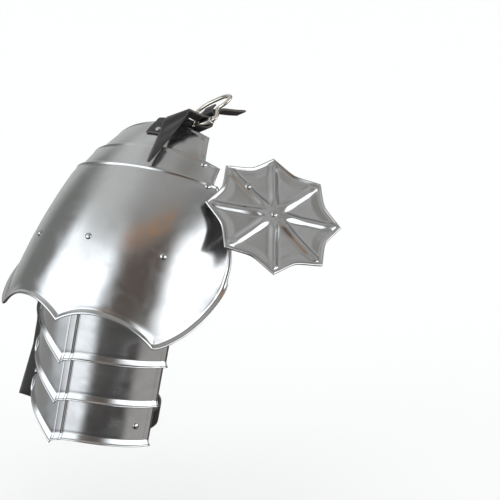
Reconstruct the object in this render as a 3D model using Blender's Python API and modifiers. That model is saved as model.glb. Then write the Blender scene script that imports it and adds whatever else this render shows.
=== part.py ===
"""Steel pauldron for the wearer's right arm, with its besagew, straps and buckle.

Frame: +Z up, the wearer faces -Y, the arm is on the -X side. The origin is the shoulder point
inside the plates, where the pauldron sits on the wearer. Lengths are in metres.
"""
import bpy
import bmesh
import math
import numpy as np
from mathutils import Matrix, Vector

MM = 0.001

# sheet and clearances
STEEL = 1.5 * MM              # plate thickness
SLIDE_GAP = 1.2 * MM          # space between two plates that slide over each other
TOUCH = 0.3 * MM              # clearance between pieces that touch
LEATHER = 2.4 * MM            # internal leathers and besagew strap
STRAP_LEATHER = 2.6 * MM      # shoulder strap, arm strap and buckle tab

# shoulder surface: a crown line that runs out and down, with a round section across it
CROWN_TOP = (20 * MM, 30 * MM)        # x, z where the main plate starts
CROWN_LENGTH = 190 * MM               # main plate, top edge to centre point, along the crown
SLOPE_TOP = math.radians(42)          # crown slope at the top edge
SLOPE_LOW = math.radians(72)          # crown slope at the centre point
SLOPE_NECK = math.radians(18)         # crown slope at the top of the upper lames
NECK_LENGTH = 76 * MM                 # upper lames, along the crown, above the main plate
SECTION_RADIUS = 148 * MM             # across the main plate's centre point
TOP_RADIUS = 133 * MM                 # across the main plate's top edge
NECK_RADIUS = 108 * MM                # across the top lame's upper edge
TWIST_TOP = math.radians(10)          # roll of the section at the top edge: the rear hangs lower
TWIST_LOW = math.radians(-1)          # roll at the centre point: the front hangs lower

# main plate outline, as arc length across (w) and along (s) the surface
TOP_HALF = 128 * MM                   # half of the top edge
TOP_RISE = 16 * MM                    # the top edge's corners rise this much
REAR_CORNER_RISE = 18 * MM            # and the rear ones by this more
LOBE_HALF = 176 * MM                  # half width at the lobes
LOBE_FORWARD = 4 * MM                 # both lobes lie this far to the front of even
LOBE_S = 84 * MM                      # where the lobes are widest
TIP_HALF = 107 * MM                   # side points, from the centre point
TIP_DROP = 4 * MM                     # side points lie this much lower than the centre point
SCALLOP_RISE = 19 * MM                # depth of the scallops between the points
FRONT_SLANT = 0.07                   # the lower edge falls to the front by this slope
EDGE_FLARE = 4.0 * MM                 # the lower edge turns outwards
FLARE_WIDTH = 15 * MM

# upper lames
UPPER_OVERLAP = 15 * MM
SECOND_HALF = 120 * MM                # half of the upper edge
SECOND_LOW_HALF = 125 * MM            # half of the hidden lower edge
SECOND_SHOWS = 31 * MM                # visible along the crown
TOP_LAME_HALF = 87 * MM
TOP_LAME_LOW_HALF = 109 * MM
PIVOT_INSET = 7 * MM                  # pivot rivets, from the ends and edges

# arm lames: a tube whose rib line leans out and back
RIB_TOP = (-50 * MM, -3 * MM, -118 * MM)
RIB_END = (-69 * MM, 13 * MM, -263 * MM)
ARM_RADIUS = 84 * MM
ARM_HALF_ANGLE = math.radians(81)     # from the rib to the front ends
ARM_REAR_ANGLE = math.radians(56)     # from the rib to the rear ends
LAME_SHOWS = 47 * MM                  # each lame's visible height at the rib
LAME_OVERLAP = 17 * MM
POINT_ASIDE = 9 * MM                  # the lower edges' point lies this far behind the rib
POINT_DROP = 6 * MM
FRONT_RISE = 38 * MM                  # the lower edges rise by this from their point
FRONT_FALL = 24.5 * MM                  # and fall by this towards the front end
REAR_RISE = 62 * MM                   # rise to the rear end
RIB_WIDTH = 9 * MM
RIB_HEIGHT = 2.2 * MM
ARM_FLARE = 3.0 * MM
ARM_FLARE_WIDTH = 7 * MM

# leathers
LEATHER_WIDTH = 30 * MM
FRONT_LEATHER_IN = 17 * MM            # side leathers' centre, from the lames' ends
REAR_LEATHER_IN = -6 * MM
REAR_LEATHER_LIFT = 14 * MM           # its free rear edge stands off by this
REAR_TAIL = 62 * MM                   # its narrowing tail below the others' ends
TAIL_NARROW = 0.85                    # share of the width that the tail loses
LEATHER_SIDE_W = 88 * MM              # side leathers on the main plate, from the middle one
LEATHER_MID_W = 12 * MM               # middle leather, from the crown
LEATHER_S = 93 * MM                   # row of the three main plate rivets, along the crown
ARM_STRAP_WIDTH = 22 * MM
ARM_STRAP_H = 40 * MM                 # its rivets, down from the lower lame's top
ARM_STRAP_FRONT_IN = 25 * MM          # and from the lame's front end
ARM_STRAP_REAR_IN = 5 * MM            # and rear end

# besagew
DISC_RADIUS = 77 * MM
DISC_POINTS = 8
DISC_SCALLOP = 13 * MM                # how far the edge runs in between the points
DISC_DOME = 2 * MM
FLUTE_HEIGHT = 2.4 * MM
DISC_CENTRE = (74.6 * MM, -175.2 * MM, -17 * MM)
DISC_NORMAL = (-0.378, -0.558, 0.739)
DISC_UP = (0.663, 0.393, 0.637)       # from the centre towards one of the points
DISC_STEEL = 1.2 * MM
DISC_STRAP_DEEP = DISC_STEEL + 4.2 * MM   # strap face below the disc, clear of the hollow ridges
DISC_STRAP_SHARE = 0.54               # strap rivet, along a ridge from the centre
BESAGEW_STRAP_WIDTH = 18 * MM
BESAGEW_STRAP_IN = 10 * MM            # its inner rivet, from the main plate's front edge
BESAGEW_STRAP_S = 14 * MM

# rivets
RIVET_HEAD = 3.8 * MM                 # dome radius
RIVET_DOME = 2.3 * MM                 # dome height
RIVET_SHANK = 1.6 * MM
HOLE_DEPTH = 22 * MM                  # length of the tool that cuts a rivet hole
FLAT_HEAD = 0.7 * MM                  # hidden rivets, height of the flat head
RIVET_SIDES = 8
FACET_SLACK = 0.6 * MM               # under the inner head, where a leather bends round the arm

# buckle and shoulder strap
STRAP_WIDTH = 26 * MM
STRAP_BASE_W = 30 * MM                # where the strap lies on the top lame
STRAP_BASE_S = (-51 * MM, -58 * MM, -66 * MM, -74 * MM, -80 * MM)
STRAP_SIDE = -2 * MM                  # the strap's place along the roller
STRAP_BEND = (-5 * MM, -14 * MM, 28 * MM)       # bend of the free end, from the roller
STRAP_BEND_DIRECTION = (-0.9, -0.25, 0.1)
STRAP_TIP = (47 * MM, -3 * MM, 5.5 * MM)         # free tip over the main plate's top edge
STRAP_TIP_ACROSS = (0.9, 0.14, -0.2)
BUCKLE_AT = (102 * MM, -66 * MM, 65 * MM)       # middle of the roller
BUCKLE_BAR = (-0.056, -0.893, 0.448)
BUCKLE_LONG = (0.890, 0.150, 0.430)
BAR_HALF = 19 * MM
WAIST_HALF = 13 * MM
WAIST_AT = 20.5 * MM
LOOP_AT = 35 * MM
LOOP_HALF = 26 * MM
LOOP_DEEP = 13 * MM
PRONG_SIDE = -6 * MM
PRONG_WIRE = 1.4 * MM
PRONG_SLOT = 4.4 * MM                 # width of the strap's hole for the prong
TAB_SIDE = 3.3 * MM
TAB_WIDTH = 14 * MM
TAB_LENGTH = 44 * MM
TAB_DROP = 31 * MM
WIRE = 2.4 * MM                       # buckle wire radius
ROLLER = 3.9 * MM


def clear():
    for item in list(bpy.data.objects):
        bpy.data.objects.remove(item, do_unlink=True)


clear()
PARTS = bpy.data.collections.new("steel_pauldron")
CUTTERS = bpy.data.collections.new("cutters")
bpy.context.scene.collection.children.link(PARTS)
bpy.context.scene.collection.children.link(CUTTERS)


def material(name, colour, roughness, metallic):
    mat = bpy.data.materials.new(name)
    mat.use_nodes = True
    shader = mat.node_tree.nodes["Principled BSDF"]
    shader.inputs["Base Color"].default_value = (*colour, 1)
    shader.inputs["Roughness"].default_value = roughness
    shader.inputs["Metallic"].default_value = metallic
    return mat


STEEL_MAT = material("polished_steel", (0.56, 0.57, 0.58), 0.22, 1.0)
RIVET_MAT = material("rivet_steel", (0.60, 0.60, 0.61), 0.18, 1.0)
NICKEL_MAT = material("nickel", (0.68, 0.66, 0.62), 0.2, 1.0)
LEATHER_MAT = material("black_leather", (0.020, 0.018, 0.018), 0.5, 0.0)


def addObject(name, mesh, mat, collection=None):
    obj = bpy.data.objects.new(name, mesh)
    (collection or PARTS).objects.link(obj)
    if mat:
        mesh.materials.append(mat)
    return obj


# the shoulder surface
def crown(s):
    """Point and slope of the crown line at arc length s from the main plate's top edge."""
    bend = (SLOPE_LOW - SLOPE_TOP) / CROWN_LENGTH
    neck = (SLOPE_TOP - SLOPE_NECK) / NECK_LENGTH
    x, z = CROWN_TOP
    if s >= 0:
        part = min(s, CROWN_LENGTH)
        slope = SLOPE_TOP + bend * part
        x -= (math.sin(slope) - math.sin(SLOPE_TOP)) / bend
        z += (math.cos(slope) - math.cos(SLOPE_TOP)) / bend
        x -= (s - part) * math.cos(slope)
        z -= (s - part) * math.sin(slope)
    else:
        slope = SLOPE_TOP + neck * s
        x -= (math.sin(slope) - math.sin(SLOPE_TOP)) / neck
        z += (math.cos(slope) - math.cos(SLOPE_TOP)) / neck
    return x, z, slope


def sectionRadius(s):
    """Radius across the surface: it narrows towards the neck."""
    if s >= 0:
        return TOP_RADIUS + (SECTION_RADIUS - TOP_RADIUS) * min(s / CROWN_LENGTH, 1)
    return TOP_RADIUS + (NECK_RADIUS - TOP_RADIUS) * min(-s / NECK_LENGTH, 1)


def shoulder(w, s, deep=0.0):
    """Point on the shoulder surface, w across (front is positive), s along, deep below it."""
    x, z, slope = crown(s)
    radius = sectionRadius(s)
    roll = TWIST_TOP + (TWIST_LOW - TWIST_TOP) * s / CROWN_LENGTH
    angle = w / radius
    up = (radius - deep) * math.cos(angle) - radius
    front = (radius - deep) * math.sin(angle)
    up, front = up * math.cos(roll) + front * math.sin(roll), front * math.cos(roll) - up * math.sin(roll)
    return Vector((x - up * math.sin(slope), -front, z + up * math.cos(slope)))


# the arm surface
ribTop, ribEnd = Vector(RIB_TOP), Vector(RIB_END)
armAxis = (ribTop - ribEnd).normalized()
armOut = (Vector((-1, 0, 0)) - armAxis * Vector((-1, 0, 0)).dot(armAxis)).normalized()
armFront = armOut.cross(armAxis).normalized()
if armFront.y > 0:
    armFront = -armFront


def arm(w, h, deep=0.0):
    """Point on the arm tube, w round it (front is positive), h down it, deep below it."""
    angle = w / ARM_RADIUS
    centre = ribTop - armAxis * h - armOut * ARM_RADIUS
    radius = ARM_RADIUS - deep
    return centre + armOut * (radius * math.cos(angle)) + armFront * (radius * math.sin(angle))


def normalOf(place, a, b, deep):
    """Outward normal of a surface place(a, b, deep)."""
    tiny = 0.2 * MM
    across = place(a + tiny, b, deep) - place(a - tiny, b, deep)
    along = place(a, b + tiny, deep) - place(a, b - tiny, deep)
    normal = across.cross(along).normalized()
    out = place(a, b, deep - tiny) - place(a, b, deep + tiny)
    return normal if normal.dot(out) > 0 else -normal


def smooth(t):
    t = min(max(t, 0.0), 1.0)
    return t * t * (3 - 2 * t)


# sheets
def gridMesh(name, points):
    """Open surface from rows of points; its outer side faces away from the wearer."""
    rows, cols = len(points), len(points[0])
    flat = [tuple(p) for row in points for p in row]
    faces = []
    for r in range(rows - 1):
        for c in range(cols - 1):
            a = r * cols + c
            faces.append((a, a + cols, a + cols + 1, a + 1))
    mesh = bpy.data.meshes.new(name)
    mesh.from_pydata(flat, [], faces)
    mesh.update()
    return mesh


def sheet(name, points, thickness, mat):
    """Sheet of the given thickness below its outer surface."""
    obj = addObject(name, gridMesh(name, points), mat)
    solid = obj.modifiers.new("thickness", "SOLIDIFY")
    solid.thickness = thickness
    solid.offset = -1
    solid.use_even_offset = True
    obj.data.shade_smooth()
    return obj


HOLES = {}


def hole(owner, point, normal, radius):
    HOLES.setdefault(owner, []).append((Vector(point), Vector(normal), radius))


def cutHoles():
    """One cutter object for each pierced piece, with a cylinder for each rivet."""
    for owner, items in HOLES.items():
        bm = bmesh.new()
        for point, normal, radius in items:
            turn = normal.to_track_quat("Z", "Y").to_matrix().to_4x4()
            bmesh.ops.create_cone(bm, cap_ends=True, segments=8, radius1=radius, radius2=radius,
                                  depth=HOLE_DEPTH, matrix=Matrix.Translation(point) @ turn)
        mesh = bpy.data.meshes.new(owner + "_holes")
        bm.to_mesh(mesh)
        bm.free()
        cutter = addObject(owner + "_holes", mesh, None, CUTTERS)
        cutter.hide_render = True
        cutter.display_type = "WIRE"
        cut = bpy.data.objects[owner].modifiers.new("holes", "BOOLEAN")
        cut.operation = "DIFFERENCE"
        cut.solver = "EXACT"
        cut.object = cutter


def rivet(name, point, normal, stack, holders, domed=True, sink=0.0):
    """Rivet at a point of the outer face: head outside, shank through stack, peened head inside."""
    head = RIVET_HEAD if domed else RIVET_HEAD * 0.85
    tall = RIVET_DOME if domed else FLAT_HEAD
    top = TOUCH
    profile = []
    steps = 2 if domed else 1
    profile.append((0.0, top + tall))
    for k in range(1, steps + 1):
        angle = math.pi / 2 * k / (steps + 0.6)
        profile.append((head * math.sin(angle), top + tall * math.cos(angle)))
    profile.append((head, top))
    profile.append((RIVET_SHANK, top))
    low = -stack - FACET_SLACK
    profile.append((RIVET_SHANK, low))
    profile.append((head * 0.85, low))
    profile.append((head * 0.6, low - 0.8 * MM))
    profile.append((0.0, low - 0.9 * MM))
    mesh = bpy.data.meshes.new(name)
    mesh.from_pydata([(r, 0, z) for r, z in profile], [(k, k + 1) for k in range(len(profile) - 1)], [])
    obj = addObject(name, mesh, RIVET_MAT)
    screw = obj.modifiers.new("turn", "SCREW")
    screw.steps = screw.render_steps = RIVET_SIDES
    screw.use_merge_vertices = True
    screw.merge_threshold = 0.00002
    obj.matrix_world = (Matrix.Translation(Vector(point))
                        @ Vector(normal).to_track_quat("Z", "Y").to_matrix().to_4x4())
    for owner in holders:
        hole(owner, point, normal, RIVET_SHANK + TOUCH)
    return obj


# main plate
def spread(s):
    """From 0 at the top corners to 1 at the lobes."""
    share = (s + TOP_RISE) / (LOBE_S + TOP_RISE)
    return math.sin(min(max(share, 0), 1) * math.pi / 2)


def lobeHalf(s):
    """Half width of the main plate at s: top corners, widening to the lobes."""
    return TOP_HALF + (LOBE_HALF - TOP_HALF) * spread(s)


def rearCorner(share):
    """How much more an upper edge rises towards its rear corner."""
    return REAR_CORNER_RISE * max(-share, 0.0) ** 1.6


def mainLower(w):
    """Lower edge s for arc w across: centre point, scallops, side points and round lobes."""
    side = abs(w)
    tip = CROWN_LENGTH + TIP_DROP
    if side <= TIP_HALF:
        t = side / TIP_HALF
        line = CROWN_LENGTH + TIP_DROP * t
        edge = line - SCALLOP_RISE * (1 - abs(2 * t - 1) ** 2.2)
    else:
        t = (side - TIP_HALF) / (LOBE_HALF - TIP_HALF)
        edge = LOBE_S + (tip - LOBE_S) * (1 - t ** 1.5) ** 0.62
    return edge + FRONT_SLANT * w


def mainFlare(s, w, lower):
    """Height of the flare near the lower edge."""
    near = 1 - (lower - s) / FLARE_WIDTH
    return EDGE_FLARE * max(near, 0.0) ** 2


def mainColumns():
    """Shares of the half width at which columns stand, with one on every point."""
    tip = TIP_HALF / LOBE_HALF
    inner = [tip * k / 12 for k in range(13)]
    outer = [tip + (1 - tip) * math.sin(math.pi / 2 * k / 10) for k in range(1, 11)]
    half = inner + outer
    return [-v for v in reversed(half[1:])] + half


def mainPoint(share, t):
    """Main plate: share across its width, t from the top edge (0) to the lower edge (1)."""
    wLow = share * LOBE_HALF
    low = mainLower(wLow)
    up = -TOP_RISE * share * share - rearCorner(share)
    s = up + (low - up) * t
    w = share * lobeHalf(s) + LOBE_FORWARD * share * share * spread(s)
    return shoulder(w, s, -mainFlare(s, w, low))


rowShares = [0, 0.012, 0.05, 0.13, 0.24, 0.36, 0.48, 0.6, 0.72, 0.83, 0.91, 0.96, 1.0]
mainRows = [[mainPoint(share, t) for share in mainColumns()] for t in rowShares]
mainPlate = sheet("main_plate", mainRows, STEEL, STEEL_MAT)

# upper lames
step = STEEL + SLIDE_GAP


def upperRows(halfTop, halfLow, sTop, sLow, deep, rows, topCurve, columns=26):
    """Grid of an upper lame: it narrows to its upper edge, whose corners rise."""
    grid = []
    for r in range(rows + 1):
        line = []
        half = halfTop + (halfLow - halfTop) * r / rows
        for c in range(columns + 1):
            share = -1 + 2 * c / columns
            s = sTop + (sLow - sTop) * r / rows - topCurve * share * share
            s -= rearCorner(share) * (1 - r / rows) * topCurve / TOP_RISE
            line.append(shoulder(share * half, s, deep))
        grid.append(line)
    return grid


secondTop = -SECOND_SHOWS
SECOND_RISE = 0.9 * TOP_RISE
TOP_LAME_RISE = 0.3 * TOP_RISE
sheet("second_lame", upperRows(SECOND_HALF, SECOND_LOW_HALF, secondTop, UPPER_OVERLAP * 0.6, step, 5, SECOND_RISE),
      STEEL, STEEL_MAT)
sheet("top_lame", upperRows(TOP_LAME_HALF, TOP_LAME_LOW_HALF, -NECK_LENGTH, secondTop + UPPER_OVERLAP * 0.8,
                            2 * step, 6, TOP_LAME_RISE), STEEL, STEEL_MAT)

PIVOTS = {}
for side, label in ((1, "front"), (-1, "rear")):
    w, s = side * (TOP_HALF - PIVOT_INSET - 3 * MM), -TOP_RISE + PIVOT_INSET + 1 * MM
    p, n = shoulder(w, s), normalOf(shoulder, w, s, 0)
    rivet("pivot_rivet_lower_" + label, p, n, STEEL + step, ["main_plate", "second_lame"])
    PIVOTS["lower_" + label] = p - n * (STEEL + step) * 0.5
    w, s = side * (TOP_LAME_LOW_HALF - PIVOT_INSET), secondTop - SECOND_RISE + PIVOT_INSET + 3 * MM
    p, n = shoulder(w, s, step), normalOf(shoulder, w, s, step)
    rivet("pivot_rivet_upper_" + label, p, n, STEEL + step, ["second_lame", "top_lame"])
    PIVOTS["upper_" + label] = p - n * (STEEL + step) * 0.5

# arm lames
ARM_HALF = ARM_RADIUS * ARM_HALF_ANGLE
ARM_REAR = ARM_RADIUS * ARM_REAR_ANGLE
LAMES = ("upper_arm_lame", "middle_arm_lame", "lower_arm_lame")


def lameTop(k):
    """Height down the rib at which lame k starts."""
    return k * LAME_SHOWS


def edgeShift(w):
    """The lames' edges rise from their point: quickly then level to the front, steadily to the rear."""
    t = abs(w + POINT_ASIDE) / ARM_HALF
    if w > -POINT_ASIDE:
        return POINT_DROP - FRONT_RISE * t ** 0.55 + FRONT_FALL * t
    return POINT_DROP - REAR_RISE * t ** 0.85


def ribHeight(w):
    return RIB_HEIGHT * smooth((RIB_WIDTH * 0.75 - abs(w)) / (RIB_WIDTH * 0.45))


def lamePoint(k, w, t):
    """Lame k: w round the arm, t from its top (0) to its rolled lower edge (1)."""
    top = lameTop(k)
    low = lameTop(k) + LAME_SHOWS + LAME_OVERLAP
    h = top + (low - top) * t + edgeShift(w)
    near = max(1 - (low - top) * (1 - t) / ARM_FLARE_WIDTH, 0.0)
    raised = ribHeight(w) + ARM_FLARE * near ** 1.5
    return arm(w, h, k * armStep - raised)


armStep = STEEL + SLIDE_GAP
ribColumns = [v * RIB_WIDTH for v in (-0.75, -0.32, 0, 0.32, 0.75)]
frontColumns = [ribColumns[-1] + (ARM_HALF - ribColumns[-1]) * (k + 1) / 12 for k in range(12)]
rearColumns = [-POINT_ASIDE - (ARM_REAR - POINT_ASIDE) * k / 9 for k in range(10)]
lameColumns = rearColumns[::-1] + ribColumns + frontColumns
for k, name in enumerate(LAMES):
    rows = [[lamePoint(k, w, t) for w in lameColumns] for t in (0, 0.3, 0.6, 0.88, 0.94, 1)]
    sheet(name, rows, STEEL, STEEL_MAT)


# ribbons
def ribbon(name, rows, thickness, mat):
    """Strip from rows of points on its outer face, its thickness towards the wearer."""
    return sheet(name, rows, thickness, mat)


def leatherDeep(h):
    """Depth of a hanging leather's outer face below the arm surface, stepping in for each lame."""
    deep = STEEL + TOUCH
    for k in (1, 2):
        deep += armStep * smooth((h - (lameTop(k) - 12 * MM)) / (9 * MM))
    return deep


def hermite(p0, d0, p1, d1, t):
    return (p0 * (2 * t ** 3 - 3 * t ** 2 + 1) + d0 * (t ** 3 - 2 * t ** 2 + t)
            + p1 * (3 * t ** 2 - 2 * t ** 3) + d1 * (t ** 3 - t ** 2))


ACROSS = (-0.5, 0.0, 0.5)
LEATHER_START = 14 * MM               # above the main plate rivet
LEATHER_END = lameTop(2) + LAME_SHOWS * 0.62


def hangingLeather(name, wMain, wArm, tail):
    """Leather from a main plate rivet, down inside the three arm lames, to a free end."""
    mainLine = [LEATHER_S - LEATHER_START, LEATHER_S - 6 * MM, LEATHER_S, LEATHER_S + 6 * MM,
                LEATHER_S + LEATHER_START]
    rows = [[shoulder(wMain + o * LEATHER_WIDTH, s, STEEL + TOUCH) for o in ACROSS] for s in mainLine]

    def armRow(h):
        part = max(h - LEATHER_END, 0.0) / tail if tail else 0.0
        free = REAR_LEATHER_LIFT * smooth((h + 4 * MM) / (20 * MM)) * (1 + 0.5 * part) if tail else 0.0
        row = []
        for o in ACROSS:
            w = wArm + (o - (o + 0.5) * TAIL_NARROW * part ** 1.5) * LEATHER_WIDTH
            row.append(arm(w, h + edgeShift(w), leatherDeep(h) - (free if o < 0 else 0.0)))
        return row

    first = -4 * MM
    start, after = armRow(first), armRow(first + 4 * MM)
    last, before = rows[-1], rows[-2]
    for k in range(1, 6):
        t = k / 6
        row = []
        for c in range(3):
            span = (start[c] - last[c]).length
            row.append(hermite(last[c], (last[c] - before[c]).normalized() * span,
                               start[c], (after[c] - start[c]).normalized() * span, t))
        rows.append(row)
    steps = 18
    for k in range(steps + 1):
        rows.append(armRow(first + (LEATHER_END - first) * k / steps))
    for k in range(1, 8 if tail else 1):
        rows.append(armRow(LEATHER_END + tail * k / 7))
    return ribbon(name, rows, LEATHER, LEATHER_MAT)


FRONT_ARM_W = ARM_HALF - FRONT_LEATHER_IN
REAR_ARM_W = REAR_LEATHER_IN - ARM_REAR
hangingLeather("middle_leather", LEATHER_MID_W, 0.0, 0.0)
hangingLeather("front_leather", LEATHER_MID_W + LEATHER_SIDE_W, FRONT_ARM_W, 0.0)
hangingLeather("rear_leather", LEATHER_MID_W - LEATHER_SIDE_W, REAR_ARM_W, REAR_TAIL)

LEATHER_SITES = (("middle", LEATHER_MID_W, 0.0),
                 ("front", LEATHER_MID_W + LEATHER_SIDE_W, FRONT_ARM_W),
                 ("rear", LEATHER_MID_W - LEATHER_SIDE_W, REAR_ARM_W + 11 * MM))
for label, wMain, wArm in LEATHER_SITES:
    owner = label + "_leather"
    p, n = shoulder(wMain, LEATHER_S), normalOf(shoulder, wMain, LEATHER_S, 0)
    rivet("main_rivet_" + label, p, n, STEEL + TOUCH + LEATHER, ["main_plate", owner])
    for k, lame in enumerate(LAMES):
        h = lameTop(k) + 8 * MM + edgeShift(wArm)
        deep = k * armStep - ribHeight(wArm)
        p, n = arm(wArm, h, deep), normalOf(arm, wArm, h, deep)
        stack = STEEL + TOUCH + LEATHER + ribHeight(wArm)
        rivet(lame.split("_")[0] + "_lame_rivet_" + label, p, n, stack, [lame, owner], domed=False)

# besagew
discNormal = Vector(DISC_NORMAL).normalized()
discUp = (Vector(DISC_UP) - discNormal * Vector(DISC_UP).dot(discNormal)).normalized()
discSide = discUp.cross(discNormal).normalized()
discCentre = Vector(DISC_CENTRE)


def discEdge(turn):
    """Radius of the scalloped edge at angle turn from the upper point."""
    part = (turn * DISC_POINTS / (2 * math.pi)) % 1.0
    return DISC_RADIUS - DISC_SCALLOP * (1 - abs(2 * part - 1) ** 1.7)


def discHeight(share, turn):
    """Height of the disc's outer face: a low dome with a ridge towards each point."""
    part = (turn * DISC_POINTS / (2 * math.pi)) % 1.0
    ridge = max(0.0, 1 - min(part, 1 - part) * 7)
    return DISC_DOME * (1 - share ** 1.6) + FLUTE_HEIGHT * ridge * smooth((share - 0.12) / 0.2) * (1.1 - share)


def discPoint(share, turn, deep=0.0):
    r = (RIVET_SHANK + TOUCH) + (discEdge(turn) - RIVET_SHANK - TOUCH) * share
    return (discCentre + discUp * (r * math.cos(turn)) + discSide * (r * math.sin(turn))
            + discNormal * (discHeight(share, turn) - deep))


DISC_TURNS = 6 * DISC_POINTS
discRows = [[discPoint(share, 2 * math.pi * c / DISC_TURNS) for c in range(DISC_TURNS)]
            for share in (0, 0.16, 0.34, 0.55, 0.76, 0.92, 1)]
discFaces = []
for r in range(len(discRows) - 1):
    for c in range(DISC_TURNS):
        a, b = r * DISC_TURNS + c, r * DISC_TURNS + (c + 1) % DISC_TURNS
        discFaces.append((a, b, b + DISC_TURNS, a + DISC_TURNS))
discMesh = bpy.data.meshes.new("besagew")
discMesh.from_pydata([tuple(p) for row in discRows for p in row], [], discFaces)
discMesh.update()
if discMesh.polygons[0].normal.dot(discNormal) < 0:
    discMesh.flip_normals()
disc = addObject("besagew", discMesh, STEEL_MAT)
discSolid = disc.modifiers.new("thickness", "SOLIDIFY")
discSolid.thickness = DISC_STEEL
discSolid.offset = -1
disc.data.shade_smooth()

rivet("besagew_rivet_centre", discPoint(0, 0) * 0.5 + discPoint(0, math.pi) * 0.5, discNormal,
      DISC_STEEL + TOUCH, [])
strapTurn = -2 * math.pi / DISC_POINTS
strapShare = DISC_STRAP_SHARE
pDisc = discPoint(strapShare, strapTurn)
nDisc = normalOf(lambda u, v, deep: discPoint(strapShare + v / DISC_RADIUS, strapTurn + u / DISC_RADIUS, deep),
                 0, 0, 0)

# besagew strap: from inside the main plate's front edge to the back of the disc
inner = STEEL + 2 * TOUCH
wStart, sStart = lobeHalf(BESAGEW_STRAP_S) + LOBE_FORWARD * spread(BESAGEW_STRAP_S) - BESAGEW_STRAP_IN, BESAGEW_STRAP_S
backPoint = pDisc - nDisc * DISC_STRAP_DEEP
toDisc = (backPoint - shoulder(wStart, sStart, inner)).normalized()
acrossDisc = nDisc.cross(toDisc).normalized()
alongDisc = acrossDisc.cross(nDisc).normalized()
if alongDisc.dot(toDisc) < 0:
    alongDisc.negate()
if acrossDisc.z < 0:
    acrossDisc.negate()
rows = []
for w in (-9, -4.5, 0, 6, 14):
    rows.append([shoulder(wStart + w * MM, sStart + o * BESAGEW_STRAP_WIDTH, inner) for o in (0.5, 0, -0.5)])
first = [backPoint - alongDisc * 12 * MM + acrossDisc * (o * BESAGEW_STRAP_WIDTH) for o in (-0.5, 0, 0.5)]
last, before = rows[-1], rows[-2]
for k in range(1, 7):
    t = k / 7
    row = []
    for c in range(3):
        span = (first[c] - last[c]).length * 0.9
        row.append(hermite(last[c], (last[c] - before[c]).normalized() * span, first[c], alongDisc * span, t))
    rows.append(row)
for along in (-12, -6, 0, 6, 12):
    rows.append([backPoint + alongDisc * (along * MM) + acrossDisc * (o * BESAGEW_STRAP_WIDTH)
                 for o in (-0.5, 0, 0.5)])
ribbon("besagew_strap", rows, LEATHER, LEATHER_MAT)
rivet("besagew_strap_rivet_outer", pDisc, nDisc, DISC_STRAP_DEEP + LEATHER,
      ["besagew", "besagew_strap"])
p, n = shoulder(wStart, sStart), normalOf(shoulder, wStart, sStart, 0)
rivet("besagew_strap_rivet_inner", p, n, inner + LEATHER, ["main_plate", "besagew_strap"], domed=False)

# buckle
barAxis = Vector(BUCKLE_BAR).normalized()
buckleLong = (Vector(BUCKLE_LONG) - barAxis * Vector(BUCKLE_LONG).dot(barAxis)).normalized()
buckleUp = barAxis.cross(buckleLong).normalized()
bar = Vector(BUCKLE_AT)


def onBuckle(across, along, up=0.0):
    return bar + barAxis * across + buckleLong * along + buckleUp * up


def tubeMesh(name, points, radius, cyclic, mat, resolution=2):
    """Closed tube along points, made a welded mesh."""
    curve = bpy.data.curves.new(name, "CURVE")
    curve.dimensions = "3D"
    curve.bevel_depth = radius
    curve.bevel_resolution = resolution
    curve.use_fill_caps = True
    spline = curve.splines.new("POLY")
    spline.points.add(len(points) - 1)
    for point, co in zip(spline.points, points):
        point.co = (*co, 1)
    spline.use_cyclic_u = cyclic
    temp = bpy.data.objects.new(name + "_curve", curve)
    CUTTERS.objects.link(temp)
    graph = bpy.context.evaluated_depsgraph_get()
    mesh = bpy.data.meshes.new_from_object(temp.evaluated_get(graph))
    bm = bmesh.new()
    bm.from_mesh(mesh)
    bmesh.ops.remove_doubles(bm, verts=bm.verts, dist=0.00002)
    bmesh.ops.recalc_face_normals(bm, faces=bm.faces)
    bm.to_mesh(mesh)
    bm.free()
    bpy.data.objects.remove(temp)
    mesh.name = name
    mesh.materials.clear()
    return addObject(name, mesh, mat)


def frameOutline():
    """Figure-of-eight outline: a straight end bar, a waist and a wide round loop."""
    half = [(BAR_HALF - 2 * MM, 0), (BAR_HALF, 2 * MM), (BAR_HALF, WAIST_AT * 0.4),
            (BAR_HALF * 0.8, WAIST_AT * 0.75), (WAIST_HALF, WAIST_AT)]
    for k in range(1, 8):
        turn = -math.pi / 2 + math.pi * (k + 0.6) / 8.6
        half.append((LOOP_HALF * math.cos(turn), LOOP_AT + LOOP_DEEP * math.sin(turn)))
    right = [(a, b) for a, b in half]
    left = [(-a, b) for a, b in reversed(half)]
    return [onBuckle(a, b) for a, b in right + left]


frame = tubeMesh("buckle_frame", frameOutline(), WIRE, True, NICKEL_MAT)
waist = tubeMesh("waist_bar", [onBuckle(-WAIST_HALF, WAIST_AT), onBuckle(WAIST_HALF, WAIST_AT)],
                 WIRE * 0.9, False, None)
CUTTERS.objects.link(waist)
PARTS.objects.unlink(waist)
waist.hide_render = True
waist.display_type = "WIRE"
join = frame.modifiers.new("waist", "BOOLEAN")
join.operation = "UNION"
join.solver = "EXACT"
join.object = waist

rollerMesh = bpy.data.meshes.new("buckle_roller")
rollIn = WIRE + TOUCH
half = BAR_HALF - 3.5 * MM
ring = [(ROLLER, half), (ROLLER, -half), (rollIn, -half), (rollIn, half)]
rollerMesh.from_pydata([(r, 0, z) for r, z in ring], [(0, 1), (1, 2), (2, 3), (3, 0)], [])
roller = addObject("buckle_roller", rollerMesh, NICKEL_MAT)
turnRoller = roller.modifiers.new("turn", "SCREW")
turnRoller.steps = turnRoller.render_steps = 12
turnRoller.use_merge_vertices = True
turnRoller.merge_threshold = 0.00002
roller.matrix_world = Matrix.Translation(bar) @ barAxis.to_track_quat("Z", "Y").to_matrix().to_4x4()

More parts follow.
